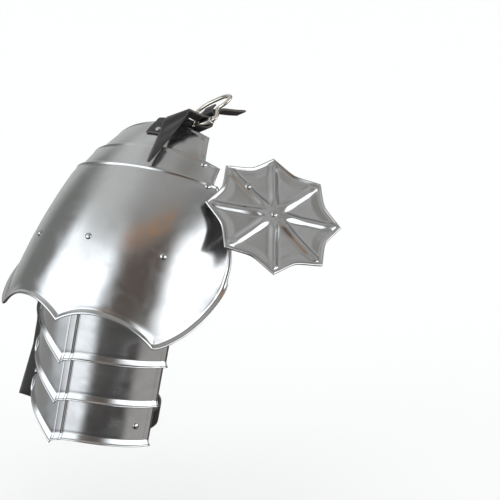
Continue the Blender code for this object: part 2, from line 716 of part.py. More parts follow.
prongPath = []
eye = WIRE * 0.9 + TOUCH + PRONG_WIRE
for k in range(9):
    turn = math.radians(-150 + 240 * k / 8)
    prongPath.append(onBuckle(PRONG_SIDE, WAIST_AT + eye * math.cos(turn), eye * math.sin(turn)))
prongTop = ROLLER + TOUCH + PRONG_WIRE
prongPath += [onBuckle(PRONG_SIDE, WAIST_AT * 0.5, (eye + prongTop) * 0.5 + 0.5 * MM),
              onBuckle(PRONG_SIDE, 0, prongTop),
              onBuckle(PRONG_SIDE, -ROLLER - 2 * MM, prongTop - 0.6 * MM)]
tubeMesh("buckle_prong", prongPath, PRONG_WIRE, False, NICKEL_MAT, resolution=2)

# buckle tab: folded round the waist bar, then on towards the neck plate
fold = WIRE * 0.9 + TOUCH + STRAP_LEATHER
tabLine = [(WAIST_AT + 9 * MM, -fold * 0.2 + fold), (WAIST_AT + 4.5 * MM, fold)]
for k in range(9):
    turn = math.pi / 2 + math.pi * k / 8
    tabLine.append((WAIST_AT + fold * math.cos(turn), fold * math.sin(turn)))
tabLine += [(WAIST_AT + 7 * MM, -fold - 1 * MM), (WAIST_AT + 14 * MM, -fold - 5 * MM),
            (WAIST_AT + 22 * MM, -fold - 12 * MM), (WAIST_AT + 32 * MM, -fold - 21 * MM),
            (WAIST_AT + TAB_LENGTH, -fold - TAB_DROP)]
rows = [[onBuckle(TAB_SIDE + o * TAB_WIDTH, along, up) for o in (-0.5, 0.5)] for along, up in tabLine]
tab = ribbon("buckle_tab", rows, STRAP_LEATHER, LEATHER_MAT)

# shoulder strap: from the top lame, round the roller, free end doubled back
baseRows = []
top = 2 * step
lift = -TOUCH - STRAP_LEATHER
for s in STRAP_BASE_S:
    baseRows.append([shoulder(STRAP_BASE_W + o * STRAP_WIDTH, s, top + lift) for o in (-0.5, 0.0, 0.5)])
wrap = ROLLER + 2.5 * TOUCH
wrapRows = []
for k in range(9):
    turn = math.radians(-100 + 160 * k / 8)
    wrapRows.append([onBuckle(STRAP_SIDE + o * STRAP_WIDTH, wrap * math.cos(turn), wrap * math.sin(turn))
                     for o in (-0.5, 0.0, 0.5)])


def between(last, before, first, after, count, pull=1.0):
    """Rows that join two ends smoothly; pull is the strength of the end directions."""
    made = []
    for k in range(1, count + 1):
        t = k / (count + 1)
        row = []
        for c in range(len(last)):
            span = (first[c] - last[c]).length * pull
            row.append(hermite(last[c], (last[c] - before[c]).normalized() * span,
                               first[c], (after[c] - first[c]).normalized() * span, t))
        made.append(row)
    return made


rise = between(baseRows[-1], baseRows[-2], wrapRows[0], wrapRows[1], 4, 0.8)
tailRows = []
bend, tip = onBuckle(*STRAP_BEND), shoulder(STRAP_TIP[0], STRAP_TIP[1], -STRAP_TIP[2])
tipAcross = Vector(STRAP_TIP_ACROSS).normalized()
bendDirection = Vector(STRAP_BEND_DIRECTION).normalized()
start = wrapRows[-1][1]
startDirection = (wrapRows[-1][1] - wrapRows[-2][1]).normalized()
up = [hermite(start, startDirection * 30 * MM, bend, bendDirection * 30 * MM, k / 6) for k in range(1, 7)]
down = [hermite(bend, bendDirection * 45 * MM, tip, (tip - bend).normalized() * 55 * MM, k / 9) for k in range(1, 10)]
centres = up + down
for k, centre in enumerate(centres):
    t = (k + 1) / len(centres)
    across = barAxis.lerp(tipAcross, smooth((t - 0.15) / 0.75)).normalized()
    width = STRAP_WIDTH * (1 if t < 0.72 else 1 - 0.9 * ((t - 0.72) / 0.28) ** 1.4)
    tailRows.append([centre + across * (o * width) for o in (-0.5, 0.0, 0.5)])
strapRows = [list(reversed(row)) for row in baseRows + rise + wrapRows + tailRows]
shoulderStrap = ribbon("shoulder_strap", strapRows, STRAP_LEATHER, LEATHER_MAT)
bpy.ops.mesh.primitive_cube_add(size=1)
slot = bpy.context.object
slot.name = "prong_slot"
for collection in list(slot.users_collection):
    collection.objects.unlink(slot)
CUTTERS.objects.link(slot)
slotAxes = Matrix((barAxis, buckleLong, buckleUp)).transposed().to_4x4()
slot.matrix_world = (Matrix.Translation(onBuckle(PRONG_SIDE, 0, 7.5 * MM)) @ slotAxes
                     @ Matrix.Diagonal((PRONG_SLOT, 22 * MM, 16 * MM, 1)))
slot.hide_render = True
slot.display_type = "WIRE"
cutSlot = shoulderStrap.modifiers.new("slot", "BOOLEAN")
cutSlot.operation = "DIFFERENCE"
cutSlot.solver = "EXACT"
cutSlot.object = slot
w, s = STRAP_BASE_W, STRAP_BASE_S[1]
p, n = shoulder(w, s, top + lift), normalOf(shoulder, w, s, top + lift)
rivet("shoulder_strap_rivet", p, n, STRAP_LEATHER + TOUCH + STEEL, ["top_lame", "shoulder_strap"], domed=False)

# arm strap: round the inside of the arm, between the lower lame's end rivets
strapH = lameTop(2) + ARM_STRAP_H
deepStrap = 2 * armStep + STEEL + 3 * TOUCH + LEATHER
frontW, rearW = ARM_HALF - ARM_STRAP_FRONT_IN, ARM_STRAP_REAR_IN - ARM_REAR
rows = []
for k in range(4):
    w = frontW - (12 - 6 * k) * MM
    rows.append([arm(w, strapH + o * ARM_STRAP_WIDTH + edgeShift(frontW), deepStrap) for o in (0.5, 0, -0.5)])
startAngle, stopAngle = (frontW + 6 * MM) / ARM_RADIUS, 2 * math.pi + (rearW - 6 * MM) / ARM_RADIUS
for k in range(1, 24):
    share = k / 24
    angle = startAngle + (stopAngle - startAngle) * share
    h = strapH + edgeShift(frontW) * (1 - share) + edgeShift(rearW) * share
    squash = (ARM_RADIUS - deepStrap) * (1 - 0.22 * math.sin(math.pi * share) ** 2)
    centre = ribTop - armAxis * h - armOut * ARM_RADIUS
    rows.append([centre - armAxis * (o * ARM_STRAP_WIDTH)
                 + armOut * (squash * math.cos(angle)) + armFront * (squash * math.sin(angle))
                 for o in (0.5, 0, -0.5)])
for k in range(4):
    w = rearW - (6 - 6 * k) * MM
    rows.append([arm(w, strapH + o * ARM_STRAP_WIDTH + edgeShift(rearW), deepStrap) for o in (0.5, 0, -0.5)])
ribbon("arm_strap", rows, STRAP_LEATHER, LEATHER_MAT)
for label, w in (("front", frontW), ("rear", rearW)):
    h = strapH + edgeShift(w)
    p, n = arm(w, h, 2 * armStep), normalOf(arm, w, h, 2 * armStep)
    rivet("arm_strap_rivet_" + label, p, n, STEEL + 3 * TOUCH + LEATHER + STRAP_LEATHER,
          ["lower_arm_lame", label + "_leather", "arm_strap"])

cutHoles()


# the two moving lames hang from empties on the rivets they turn about
def hingeEmpty(name, label, pieces, parent=None):
    front, rear = PIVOTS[label + "_front"], PIVOTS[label + "_rear"]
    along = (front - rear).normalized()
    place = Matrix.Translation(front) @ along.to_track_quat("Z", "Y").to_matrix().to_4x4()
    empty = addObject(name, None, None)
    empty.empty_display_size = 10 * MM
    if parent:
        empty.parent = parent[0]
        empty.matrix_parent_inverse = parent[1].inverted()
    empty.matrix_basis = place
    for piece in pieces:
        piece.parent = empty
        piece.matrix_parent_inverse = place.inverted()
    return empty, place


def named(*starts):
    return [obj for obj in PARTS.objects if obj.type == "MESH" and obj.name.startswith(starts)]


secondHinge = hingeEmpty("second_lame_hinge", "lower", named("second_lame", "pivot_rivet_upper"))
hingeEmpty("top_lame_hinge", "upper", named("top_lame", "shoulder_strap", "buckle"), secondHinge)
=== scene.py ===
import math
import bpy
import numpy as np
from mathutils import Matrix


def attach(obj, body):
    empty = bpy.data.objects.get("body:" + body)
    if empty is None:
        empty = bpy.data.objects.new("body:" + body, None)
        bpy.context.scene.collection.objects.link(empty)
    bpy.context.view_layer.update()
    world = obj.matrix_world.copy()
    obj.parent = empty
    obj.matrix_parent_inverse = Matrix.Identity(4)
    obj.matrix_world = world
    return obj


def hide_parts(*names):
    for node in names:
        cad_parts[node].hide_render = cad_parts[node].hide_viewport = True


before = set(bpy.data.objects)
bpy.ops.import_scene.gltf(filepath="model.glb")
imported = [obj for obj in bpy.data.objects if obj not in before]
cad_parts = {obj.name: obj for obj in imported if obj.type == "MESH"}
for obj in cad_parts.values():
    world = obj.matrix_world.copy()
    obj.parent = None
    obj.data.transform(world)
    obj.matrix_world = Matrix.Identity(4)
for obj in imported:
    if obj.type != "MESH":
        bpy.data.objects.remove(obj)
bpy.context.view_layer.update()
mm = 0.001
print("frame loaded:", len(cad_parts), "nodes")


# small vector tools
def unit(v):
    return v / np.maximum(np.linalg.norm(v, axis=-1, keepdims=True), 1e-12)


def ease(t):  # 0 to 1 with level ends
    t = np.clip(t, 0.0, 1.0)
    return t * t * (3 - 2 * t)


def joinCurve(p0, d0, p1, d1, t):  # cubic from p0 to p1 that leaves along d0 and arrives along d1
    return (p0 * (2 * t ** 3 - 3 * t ** 2 + 1) + d0 * (t ** 3 - 2 * t ** 2 + t)
            + p1 * (3 * t ** 2 - 2 * t ** 3) + d1 * (t ** 3 - t ** 2))


def vec(*values):
    return np.array(values, float) * mm


def together(*values):  # the given numbers and arrays as float arrays of one shape
    return np.broadcast_arrays(*[np.asarray(v, float) for v in values])


def bell(x, width):  # smooth hump of height 1 at 0
    return np.exp(-(x / width) ** 2)


# the surface that the shoulder plates follow: a crown line with a round section across it
shoulderShape = {"startX": 20 * mm, "startZ": 30 * mm, "length": 190 * mm, "neckLength": 76 * mm,
                 "slopeTop": math.radians(42), "slopeLow": math.radians(72), "slopeNeck": math.radians(18),
                 "radiusTop": 133 * mm, "radiusLow": 148 * mm, "radiusNeck": 108 * mm,
                 "rollTop": math.radians(10), "rollLow": math.radians(-1)}


def crownAt(s):  # slope grows evenly along the line; x and z are the sums of its cosine and sine
    c = shoulderShape
    down, neck = np.maximum(s, 0), np.minimum(s, 0)
    part = np.minimum(down, c["length"])
    bend = (c["slopeLow"] - c["slopeTop"]) / c["length"]
    neckBend = (c["slopeTop"] - c["slopeNeck"]) / c["neckLength"]
    slopeA, slopeB = c["slopeTop"] + bend * part, c["slopeTop"] + neckBend * neck
    slope = slopeA + neckBend * neck
    x = (c["startX"] - (np.sin(slopeA) - math.sin(c["slopeTop"])) / bend
         - (np.sin(slopeB) - math.sin(c["slopeTop"])) / neckBend - (down - part) * np.cos(slope))
    z = (c["startZ"] + (np.cos(slopeA) - math.cos(c["slopeTop"])) / bend
         + (np.cos(slopeB) - math.cos(c["slopeTop"])) / neckBend - (down - part) * np.sin(slope))
    return x, z, slope


def shoulderAt(w, s, lift=0.0):  # w across (front positive), s down the crown, lift outwards
    c = shoulderShape
    w, s, lift = together(w, s, lift)
    x, z, slope = crownAt(s)
    share = np.minimum(np.where(s >= 0, s / c["length"], -s / c["neckLength"]), 1)
    radius = c["radiusTop"] + np.where(s >= 0, c["radiusLow"] - c["radiusTop"],
                                       c["radiusNeck"] - c["radiusTop"]) * share
    roll = c["rollTop"] + (c["rollLow"] - c["rollTop"]) * s / c["length"]
    angle = w / radius
    up = (radius + lift) * np.cos(angle) - radius
    front = (radius + lift) * np.sin(angle)
    up, front = up * np.cos(roll) + front * np.sin(roll), front * np.cos(roll) - up * np.sin(roll)
    return np.stack([x - up * np.sin(slope), -front, z + up * np.cos(slope)], -1)


# the tube that the arm lames follow
armShape = {"ribTop": vec(-50, -3, -118), "ribEnd": vec(-69, 13, -263), "radius": 84 * mm,
            "half": 84 * mm * math.radians(81), "rearHalf": 84 * mm * math.radians(56),
            "ribWidth": 9 * mm, "ribHeight": 2.2 * mm,
            "shows": 47 * mm, "overlap": 17 * mm, "pointAside": 9 * mm, "pointDrop": 6 * mm,
            "frontRise": 38 * mm, "frontFall": 24.5 * mm, "rearRise": 62 * mm,
            "flare": 3 * mm, "flareWidth": 7 * mm, "flarePower": 1.12}
armAxis = unit(armShape["ribTop"] - armShape["ribEnd"])
armOut = unit(np.array([-1.0, 0, 0]) + armAxis * armAxis[0])
armFront = np.cross(armOut, armAxis)
armFront = armFront if armFront[1] < 0 else -armFront


def armAt(w, h, lift=0.0):  # w round the arm (front positive), h down the rib, lift outwards
    w, h, lift = [v[..., None] for v in together(w, h, lift)]
    angle = w / armShape["radius"]
    centre = armShape["ribTop"] - armAxis * h - armOut * armShape["radius"]
    return centre + (armOut * np.cos(angle) + armFront * np.sin(angle)) * (armShape["radius"] + lift)


def normalAt(place, a, b, lift=0.0):  # outward normal by small steps along both parameters
    tiny = 0.2 * mm
    normal = unit(np.cross(place(a + tiny, b, lift) - place(a - tiny, b, lift),
                           place(a, b + tiny, lift) - place(a, b - tiny, lift)))
    out = place(a, b, lift + tiny) - place(a, b, lift - tiny)
    return normal * np.sign((normal * out).sum(-1, keepdims=True))


# mesh making
def finishMesh(name, points, faces, flat=None, wear=None, sharp=48):
    mesh = bpy.data.meshes.new(name)
    mesh.from_pydata(points.reshape(-1, 3).tolist(), [], faces.tolist())
    if flat is not None:
        layer = mesh.uv_layers.new(name="sheetMap")
        loops = np.empty(len(mesh.loops), np.int32)
        mesh.loops.foreach_get("vertex_index", loops)
        layer.data.foreach_set("uv", (flat.reshape(-1, 2)[loops] * 10).astype(np.float32).ravel())
    if wear is not None:
        layer = mesh.attributes.new("edgeWear", "FLOAT", "POINT")
        layer.data.foreach_set("value", wear.astype(np.float32).ravel())
    mesh.polygons.foreach_set("use_smooth", np.ones(len(mesh.polygons), bool))
    mesh.set_sharp_from_angle(angle=math.radians(sharp))
    mesh.update()
    obj = bpy.data.objects.new(name, mesh)
    bpy.context.scene.collection.objects.link(obj)
    return obj


def shellPiece(name, outer, inner, wrap=False, flat=None, wear=None, sharp=48):
    # closed wall between two grids: both faces, and a strip round each open side
    rows, cols = outer.shape[:2]
    index = np.arange(rows * cols).reshape(rows, cols)
    if wrap:
        index = np.hstack([index, index[:, :1]])
    a, b, c, d = index[:-1, :-1], index[1:, :-1], index[1:, 1:], index[:-1, 1:]
    top = np.stack([a, b, c, d], -1).reshape(-1, 4)
    under = rows * cols
    walls = [np.stack([index[0, :-1], index[0, 1:], index[0, 1:] + under, index[0, :-1] + under], -1),
             np.stack([index[-1, 1:], index[-1, :-1], index[-1, :-1] + under, index[-1, 1:] + under], -1)]
    if not wrap:
        walls += [np.stack([index[1:, 0], index[:-1, 0], index[:-1, 0] + under, index[1:, 0] + under], -1),
                  np.stack([index[:-1, -1], index[1:, -1], index[1:, -1] + under, index[:-1, -1] + under], -1)]
    faces = np.vstack([top, top[:, ::-1] + under, *walls])
    r, q = rows // 2, cols // 2
    facing = np.cross(outer[r + 1, q] - outer[r, q], outer[r, q + 1] - outer[r, q])
    if (facing * (outer[r, q] - inner[r, q])).sum() < 0:
        faces = faces[:, ::-1]
    points = np.concatenate([outer.reshape(-1, 3), inner.reshape(-1, 3)])
    if flat is not None:
        flat = np.concatenate([flat.reshape(-1, 2), flat.reshape(-1, 2)])
    if wear is not None:
        wear = np.concatenate([wear.ravel(), wear.ravel() * 0.4])
    return finishMesh(name, points, faces, flat, wear, sharp)


def sweptTube(name, path, radiusA, radiusB, side, closed, turns=20):
    # an oval section, radiusA along side and radiusB across it, carried along a flat path
    path = np.asarray(path, float)
    along = unit(np.roll(path, -1, 0) - np.roll(path, 1, 0)) if closed else unit(np.gradient(path, axis=0))
    side = np.broadcast_to(unit(np.asarray(side, float)), path.shape)
    other = unit(np.cross(along, side))
    turn = np.arange(turns) * 2 * math.pi / turns
    ring = (path[:, None] + side[:, None] * (radiusA * np.cos(turn))[None, :, None]
            + other[:, None] * (radiusB * np.sin(turn))[None, :, None])
    n = len(path)
    index = np.arange(n * turns).reshape(n, turns)
    index = np.hstack([index, index[:, :1]])
    if closed:
        index = np.vstack([index, index[:1]])
    faces = np.stack([index[:-1, :-1], index[:-1, 1:], index[1:, 1:], index[1:, :-1]], -1)
    faces = faces.reshape(-1, 4).tolist()
    points = ring.reshape(-1, 3)
    if not closed:  # round ends: one more pole point at each end
        points = np.vstack([points, path[0] - along[0] * radiusB * 0.6, path[-1] + along[-1] * radiusB * 0.6])
        faces += [[int(index[0, k + 1]), int(index[0, k]), n * turns] for k in range(turns)]
        faces += [[int(index[-1, k]), int(index[-1, k + 1]), n * turns + 1] for k in range(turns)]
    mesh = bpy.data.meshes.new(name)
    mesh.from_pydata(points.tolist(), [], faces)
    mesh.polygons.foreach_set("use_smooth", np.ones(len(mesh.polygons), bool))
    mesh.update()
    obj = bpy.data.objects.new(name, mesh)
    bpy.context.scene.collection.objects.link(obj)
    return obj


def turnedPiece(name, profile, centre, axis, turns=36, sharp=40):
    # a closed profile of (radius, height) turned round an axis; radius 0 closes a pole
    profile = np.asarray(profile, float)
    axis = unit(np.asarray(axis, float))
    side = unit(np.cross(axis, [0.3, 0.9, 0.2] if abs(axis[1]) < 0.8 else [1.0, 0.1, 0.2]))
    other = np.cross(axis, side)
    turn = np.arange(turns) * 2 * math.pi / turns
    spoke = side * np.cos(turn)[:, None] + other * np.sin(turn)[:, None]
    points = centre + profile[:, None, 1:2] * axis + profile[:, None, 0:1] * spoke[None]
    ring = profile[0, 0] > 0 and profile[-1, 0] > 0
    index = np.arange(len(profile) * turns).reshape(len(profile), turns)
    index = np.hstack([index, index[:, :1]])
    if ring:
        index = np.vstack([index, index[:1]])
    faces = np.stack([index[:-1, :-1], index[1:, :-1], index[1:, 1:], index[:-1, 1:]], -1).reshape(-1, 4)
    obj = finishMesh(name, points, faces, sharp=180)
    weld(obj, sharp)
    return obj


def weld(obj, sharp):  # merges the points at the poles, then turns every face outwards
    import bmesh
    work = bmesh.new()
    work.from_mesh(obj.data)
    bmesh.ops.remove_doubles(work, verts=work.verts, dist=0.00001)
    bmesh.ops.dissolve_degenerate(work, edges=work.edges, dist=0.000005)
    bmesh.ops.recalc_face_normals(work, faces=work.faces)
    work.to_mesh(obj.data)
    work.free()
    obj.data.set_sharp_from_angle(angle=math.radians(sharp))


def dress(obj, material, body, slot, *nodes):
    obj.data.materials.clear()
    obj.data.materials.append(material)
    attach(obj, body)
    if nodes:
        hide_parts(*nodes)
    return obj


def wayToLine(points, line):  # shortest way from each point to a polyline, in the flat map
    flat = points.reshape(-1, 2)
    start, span = line[:-1], np.diff(line, axis=0)
    size = np.maximum((span ** 2).sum(-1), 1e-18)
    best = np.empty(len(flat))
    for k in range(0, len(flat), 3000):
        gap = flat[k:k + 3000, None] - start[None]
        t = np.clip((gap * span).sum(-1) / size, 0, 1)
        best[k:k + 3000] = np.sqrt(((gap - t[..., None] * span) ** 2).sum(-1).min(-1))
    return best.reshape(points.shape[:-1])


def rolledEdge(d, rim):
    # d in from the edge: half-round roll on both faces, a sunk line beside it, then level sheet
    r, sheet = rim["radius"], rim["sheet"]
    arch = np.sqrt(np.clip(1 - (1 - np.clip(d / r, 0, 1)) ** 2, 0, 1))
    fade = 0.5 * (1 + np.cos(math.pi * np.clip((d - r) / (r * rim["fall"]), 0, 1)))
    outer = np.where(d < r, -sheet / 2 + (sheet / 2 + rim["height"]) * arch, rim["height"] * fade)
    inner = np.where(d < r, -sheet / 2 - (sheet / 2 + rim["under"]) * arch, -sheet - rim["under"] * fade)
    line = rim["sink"] * np.exp(-((d - rim["lineAt"]) / rim["lineWidth"]) ** 2)
    return outer - line, inner - line * 0.8


def spaced(total, near, step, far=None):  # distances from 0 to total: the near ones, even steps, the far ones
    far = near if far is None else far
    middle = np.linspace(near[-1], total - far[-1], max(2, int(round((total - near[-1] - far[-1]) / step))))
    return np.concatenate([near[:-1], middle, (total - np.array(far[:-1]))[::-1]])


# distances from an edge at which the grids have lines: rolled edges, and plain ones
fineNear = vec(0, 0.15, 0.4, 0.75, 1.15, 1.6, 2.05, 2.5, 2.95, 3.4, 3.9, 4.4, 4.9, 5.4, 6.0, 6.8, 8.0, 10.0)
rawNear = vec(0, 0.15, 0.35, 0.7, 1.2, 1.8, 2.6, 3.6, 5.0)
sheetGap = 2.7 * mm  # one sheet and the sliding space under it
print("tools ready")


# shader groups and materials
def newGroup(name, inputs, outputs):
    tree = bpy.data.node_groups.new(name, "ShaderNodeTree")
    for label, kind, value in inputs:
        socket = tree.interface.new_socket(label, in_out="INPUT", socket_type=kind)
        if value is not None:
            socket.default_value = value
    for label, kind in outputs:
        tree.interface.new_socket(label, in_out="OUTPUT", socket_type=kind)
    return tree, tree.nodes.new("NodeGroupInput"), tree.nodes.new("NodeGroupOutput")


def inputOf(node, key):  # a Mix node names its sockets alike for each kind of value, so the shown one is used
    if isinstance(key, int):
        return node.inputs[key]
    return [socket for socket in node.inputs if socket.name == key and socket.enabled][0]


def add(tree, kind, links=None, **values):
    # a node with its fixed values set, and its inputs linked from the given sockets
    node = tree.nodes.new(kind)
    for key, value in values.items():
        setattr(node, key, value)
    for key, value in (links or {}).items():
        socket = inputOf(node, key)
        if isinstance(value, bpy.types.NodeSocket):
            tree.links.new(value, socket)
        else:
            socket.default_value = value
    return node


def colourOf(mix):
    return [socket for socket in mix.outputs if socket.enabled][0]


def multiply(tree, a, b):
    return add(tree, "ShaderNodeMath", {0: a, 1: b}, operation="MULTIPLY").outputs[0]


def plus(tree, a, b):
    return add(tree, "ShaderNodeMath", {0: a, 1: b}, operation="ADD").outputs[0]


def minus(tree, a, b):
    return add(tree, "ShaderNodeMath", {0: a, 1: b}, operation="SUBTRACT").outputs[0]


def remap(tree, value, a, b, c, d):
    return add(tree, "ShaderNodeMapRange", {"Value": value, "From Min": a, "From Max": b, "To Min": c,
                                            "To Max": d}).outputs["Result"]


def makePolish():
    # hand polish: soft waviness of hammered sheet, fine brushing, a few scuffs and cloudy smears
    tree, given, out = newGroup("handPolish",
                                [("Vector", "NodeSocketVector", None), ("Brush", "NodeSocketFloat", 0.3)],
                                [("Height", "NodeSocketFloat"), ("Smear", "NodeSocketFloat"),
                                 ("Scuff", "NodeSocketFloat")])
    where = given.outputs["Vector"]
    wave = add(tree, "ShaderNodeTexNoise", {"Vector": where, "Scale": 26.0, "Detail": 1.0})
    stretch = add(tree, "ShaderNodeMapping", {"Vector": where, "Scale": (260.0, 260.0, 2600.0)})
    brush = add(tree, "ShaderNodeTexNoise", {"Vector": stretch.outputs[0], "Scale": 1.0, "Detail": 3.0})
    smear = add(tree, "ShaderNodeTexNoise",
                {"Vector": where, "Scale": 38.0, "Detail": 4.0, "Distortion": 1.2})
    scratch = add(tree, "ShaderNodeMapping", {"Vector": where, "Rotation": (0.5, 0.9, 0.3),
                                              "Scale": (40.0, 900.0, 900.0)})
    lines = add(tree, "ShaderNodeTexNoise", {"Vector": scratch.outputs[0], "Scale": 1.0, "Detail": 2.0})
    scuff = remap(tree, lines.outputs[0], 0.70, 0.80, 0.0, 1.0)
    fine = multiply(tree, brush.outputs[0], given.outputs["Brush"])
    tree.links.new(plus(tree, wave.outputs[0], multiply(tree, fine, 0.02)), out.inputs["Height"])
    tree.links.new(remap(tree, smear.outputs[0], 0.35, 0.7, 0.0, 1.0), out.inputs["Smear"])
    tree.links.new(scuff, out.inputs["Scuff"])
    return tree


def makeGrain():
    # leather grain: small pebbles with creases between them, over slow swelling
    tree, given, out = newGroup("leatherGrain",
                                [("Vector", "NodeSocketVector", None), ("Size", "NodeSocketFloat", 900.0)],
                                [("Height", "NodeSocketFloat"), ("Rub", "NodeSocketFloat")])
    where = given.outputs["Vector"]
    cells = add(tree, "ShaderNodeTexVoronoi", {"Vector": where, "Scale": given.outputs["Size"]},
                feature="DISTANCE_TO_EDGE")
    soft = add(tree, "ShaderNodeTexNoise", {"Vector": where, "Scale": 160.0, "Detail": 5.0})
    rub = add(tree, "ShaderNodeTexNoise", {"Vector": where, "Scale": 70.0, "Detail": 3.0})
    pebble = remap(tree, cells.outputs[0], 0.0, 0.22, 0.0, 1.0)
    tree.links.new(plus(tree, multiply(tree, pebble, 0.5), soft.outputs[0]), out.inputs["Height"])
    tree.links.new(remap(tree, rub.outputs[0], 0.45, 0.75, 0.0, 1.0), out.inputs["Rub"])
    return tree


handPolish, leatherGrain = makePolish(), makeGrain()
finishes = {
    "polishedSteel": {"colour": (0.60, 0.605, 0.61), "worn": (0.74, 0.745, 0.75), "rough": 0.15,
                      "smear": 0.10, "bump": 0.25, "brush": 1.0},
    # rivet steel: the plate steel made a little darker, as painted shade on the rivet heads
    "rivetSteel": {"colour": (0.56, 0.56, 0.565), "worn": (0.7, 0.7, 0.7), "rough": 0.13, "smear": 0.08,
                   "bump": 0.1, "brush": 0.5},
    "nickel": {"colour": (0.74, 0.70, 0.63), "worn": (0.82, 0.78, 0.7), "rough": 0.16, "smear": 0.14,
               "bump": 0.15, "brush": 0.5},
    "blackLeather": {"colour": (0.012, 0.011, 0.012), "worn": (0.11, 0.09, 0.075), "rough": 0.42, "rub": 0.18,
                     "bump": 0.35, "grain": 950.0},
}


def steelMaterial(name):
    f = finishes[name]
    mat = bpy.data.materials.new(name)
    mat.use_nodes = True
    tree = mat.node_tree
    shader = tree.nodes["Principled BSDF"]
    place = add(tree, "ShaderNodeTexCoord").outputs["Object"]
    polish = add(tree, "ShaderNodeGroup", node_tree=handPolish)
    tree.links.new(place, polish.inputs["Vector"])
    polish.inputs["Brush"].default_value = f["brush"]
    wear = add(tree, "ShaderNodeAttribute", attribute_name="edgeWear").outputs["Fac"]
    colour = add(tree, "ShaderNodeMix", {"Factor": wear, "A": (*f["colour"], 1), "B": (*f["worn"], 1)},
                 data_type="RGBA")
    dull = add(tree, "ShaderNodeMix", {"Factor": multiply(tree, polish.outputs["Smear"], 0.25)},
               data_type="RGBA")
    tree.links.new(colourOf(colour), inputOf(dull, "A"))
    inputOf(dull, "B").default_value = (*[c * 0.82 for c in f["colour"]], 1)
    tree.links.new(colourOf(dull), shader.inputs["Base Color"])
    rough = plus(tree, multiply(tree, polish.outputs["Smear"], f["smear"]),
                 multiply(tree, polish.outputs["Scuff"], 0.10))
    tree.links.new(plus(tree, rough, f["rough"]), shader.inputs["Roughness"])
    bump = add(tree, "ShaderNodeBump", {"Height": polish.outputs["Height"], "Strength": f["bump"],
                                        "Distance": 0.002})
    tree.links.new(bump.outputs["Normal"], shader.inputs["Normal"])
    shader.inputs["Metallic"].default_value = 1.0
    return mat


def leatherMaterial(name):
    f = finishes[name]
    mat = bpy.data.materials.new(name)
    mat.use_nodes = True
    tree = mat.node_tree
    shader = tree.nodes["Principled BSDF"]
    place = add(tree, "ShaderNodeTexCoord").outputs["Object"]
    grain = add(tree, "ShaderNodeGroup", node_tree=leatherGrain)
    tree.links.new(place, grain.inputs["Vector"])
    grain.inputs["Size"].default_value = f["grain"]
    wear = add(tree, "ShaderNodeAttribute", attribute_name="edgeWear").outputs["Fac"]
    worn = plus(tree, multiply(tree, wear, 0.75), multiply(tree, grain.outputs["Rub"], 0.08))
    colour = add(tree, "ShaderNodeMix", {"Factor": worn, "A": (*f["colour"], 1), "B": (*f["worn"], 1)},
                 data_type="RGBA")
    tree.links.new(colourOf(colour), shader.inputs["Base Color"])
    tree.links.new(plus(tree, multiply(tree, grain.outputs["Rub"], f["rub"]), f["rough"]),
                   shader.inputs["Roughness"])
    bump = add(tree, "ShaderNodeBump", {"Height": grain.outputs["Height"], "Strength": f["bump"],
                                        "Distance": 0.0006})
    tree.links.new(bump.outputs["Normal"], shader.inputs["Normal"])
    shader.inputs["Coat Weight"].default_value = 0.25
    shader.inputs["Coat Roughness"].default_value = 0.25
    return mat


steelMat, shadedRivetMat, nickelMat = [steelMaterial(n) for n in ("polishedSteel", "rivetSteel", "nickel")]
leatherMat = leatherMaterial("blackLeather")
print("materials ready")

# main plate: a lobed lower edge with a centre point, two scallops and two side points
plateShape = {"topHalf": 128 * mm, "topRise": 16 * mm, "rearCorner": 18 * mm, "rearPower": 1.6,
              "lobeHalf": 176 * mm, "lobeAt": 84 * mm, "forward": 4 * mm,
              "tipHalf": 107 * mm, "tipDrop": 4 * mm, "scallop": 19 * mm, "slant": 0.07,
              "flare": 4 * mm, "flareWidth": 15 * mm, "columnStep": 1.5 * mm, "rowStep": 3.0 * mm,
              "usualSpan": 180 * mm, "shortSpan": 150 * mm,
              "roll": {"radius": 2.3 * mm, "height": 1.3 * mm, "under": 1.4 * mm, "sheet": 1.5 * mm,
                       "sink": 0.3 * mm, "lineAt": 5.6 * mm, "lineWidth": 0.9 * mm, "fall": 0.9},
              "lip": {"radius": 2.0 * mm, "height": 0.9 * mm, "under": 0.1 * mm, "sheet": 1.5 * mm,
                      "sink": 0.25 * mm, "lineAt": 5.0 * mm, "lineWidth": 1.0 * mm, "fall": 1.2}}


def plateSpread(s):  # a quarter sine, from 0 at the top corners to 1 at the lobes
    c = plateShape
    return np.sin(np.clip((s + c["topRise"]) / (c["lobeAt"] + c["topRise"]), 0, 1) * math.pi / 2)


def plateAcross(share, s):  # both lobes lie a little forward of even
    c, spread = plateShape, plateSpread(s)
    half = c["topHalf"] + (c["lobeHalf"] - c["topHalf"]) * spread
    return share * half + c["forward"] * share ** 2 * spread


def rearCorner(share):  # how much more an upper edge rises towards its rear corner
    return plateShape["rearCorner"] * np.clip(-share, 0, 1) ** plateShape["rearPower"]


def plateLower(w):  # lower edge: centre point, scallops, side points, round lobes, and a slant
    c, side, length = plateShape, np.abs(w), shoulderShape["length"]
    t = np.clip(side / c["tipHalf"], 0, 1)
    inner = length + c["tipDrop"] * t - c["scallop"] * (1 - np.abs(2 * t - 1) ** 2.2)
    u = np.clip((side - c["tipHalf"]) / (c["lobeHalf"] - c["tipHalf"]), 0, 1)
    outer = c["lobeAt"] + (length + c["tipDrop"] - c["lobeAt"]) * np.clip(1 - u ** 1.5, 0, 1) ** 0.62
    return np.where(side <= c["tipHalf"], inner, outer) + c["slant"] * w


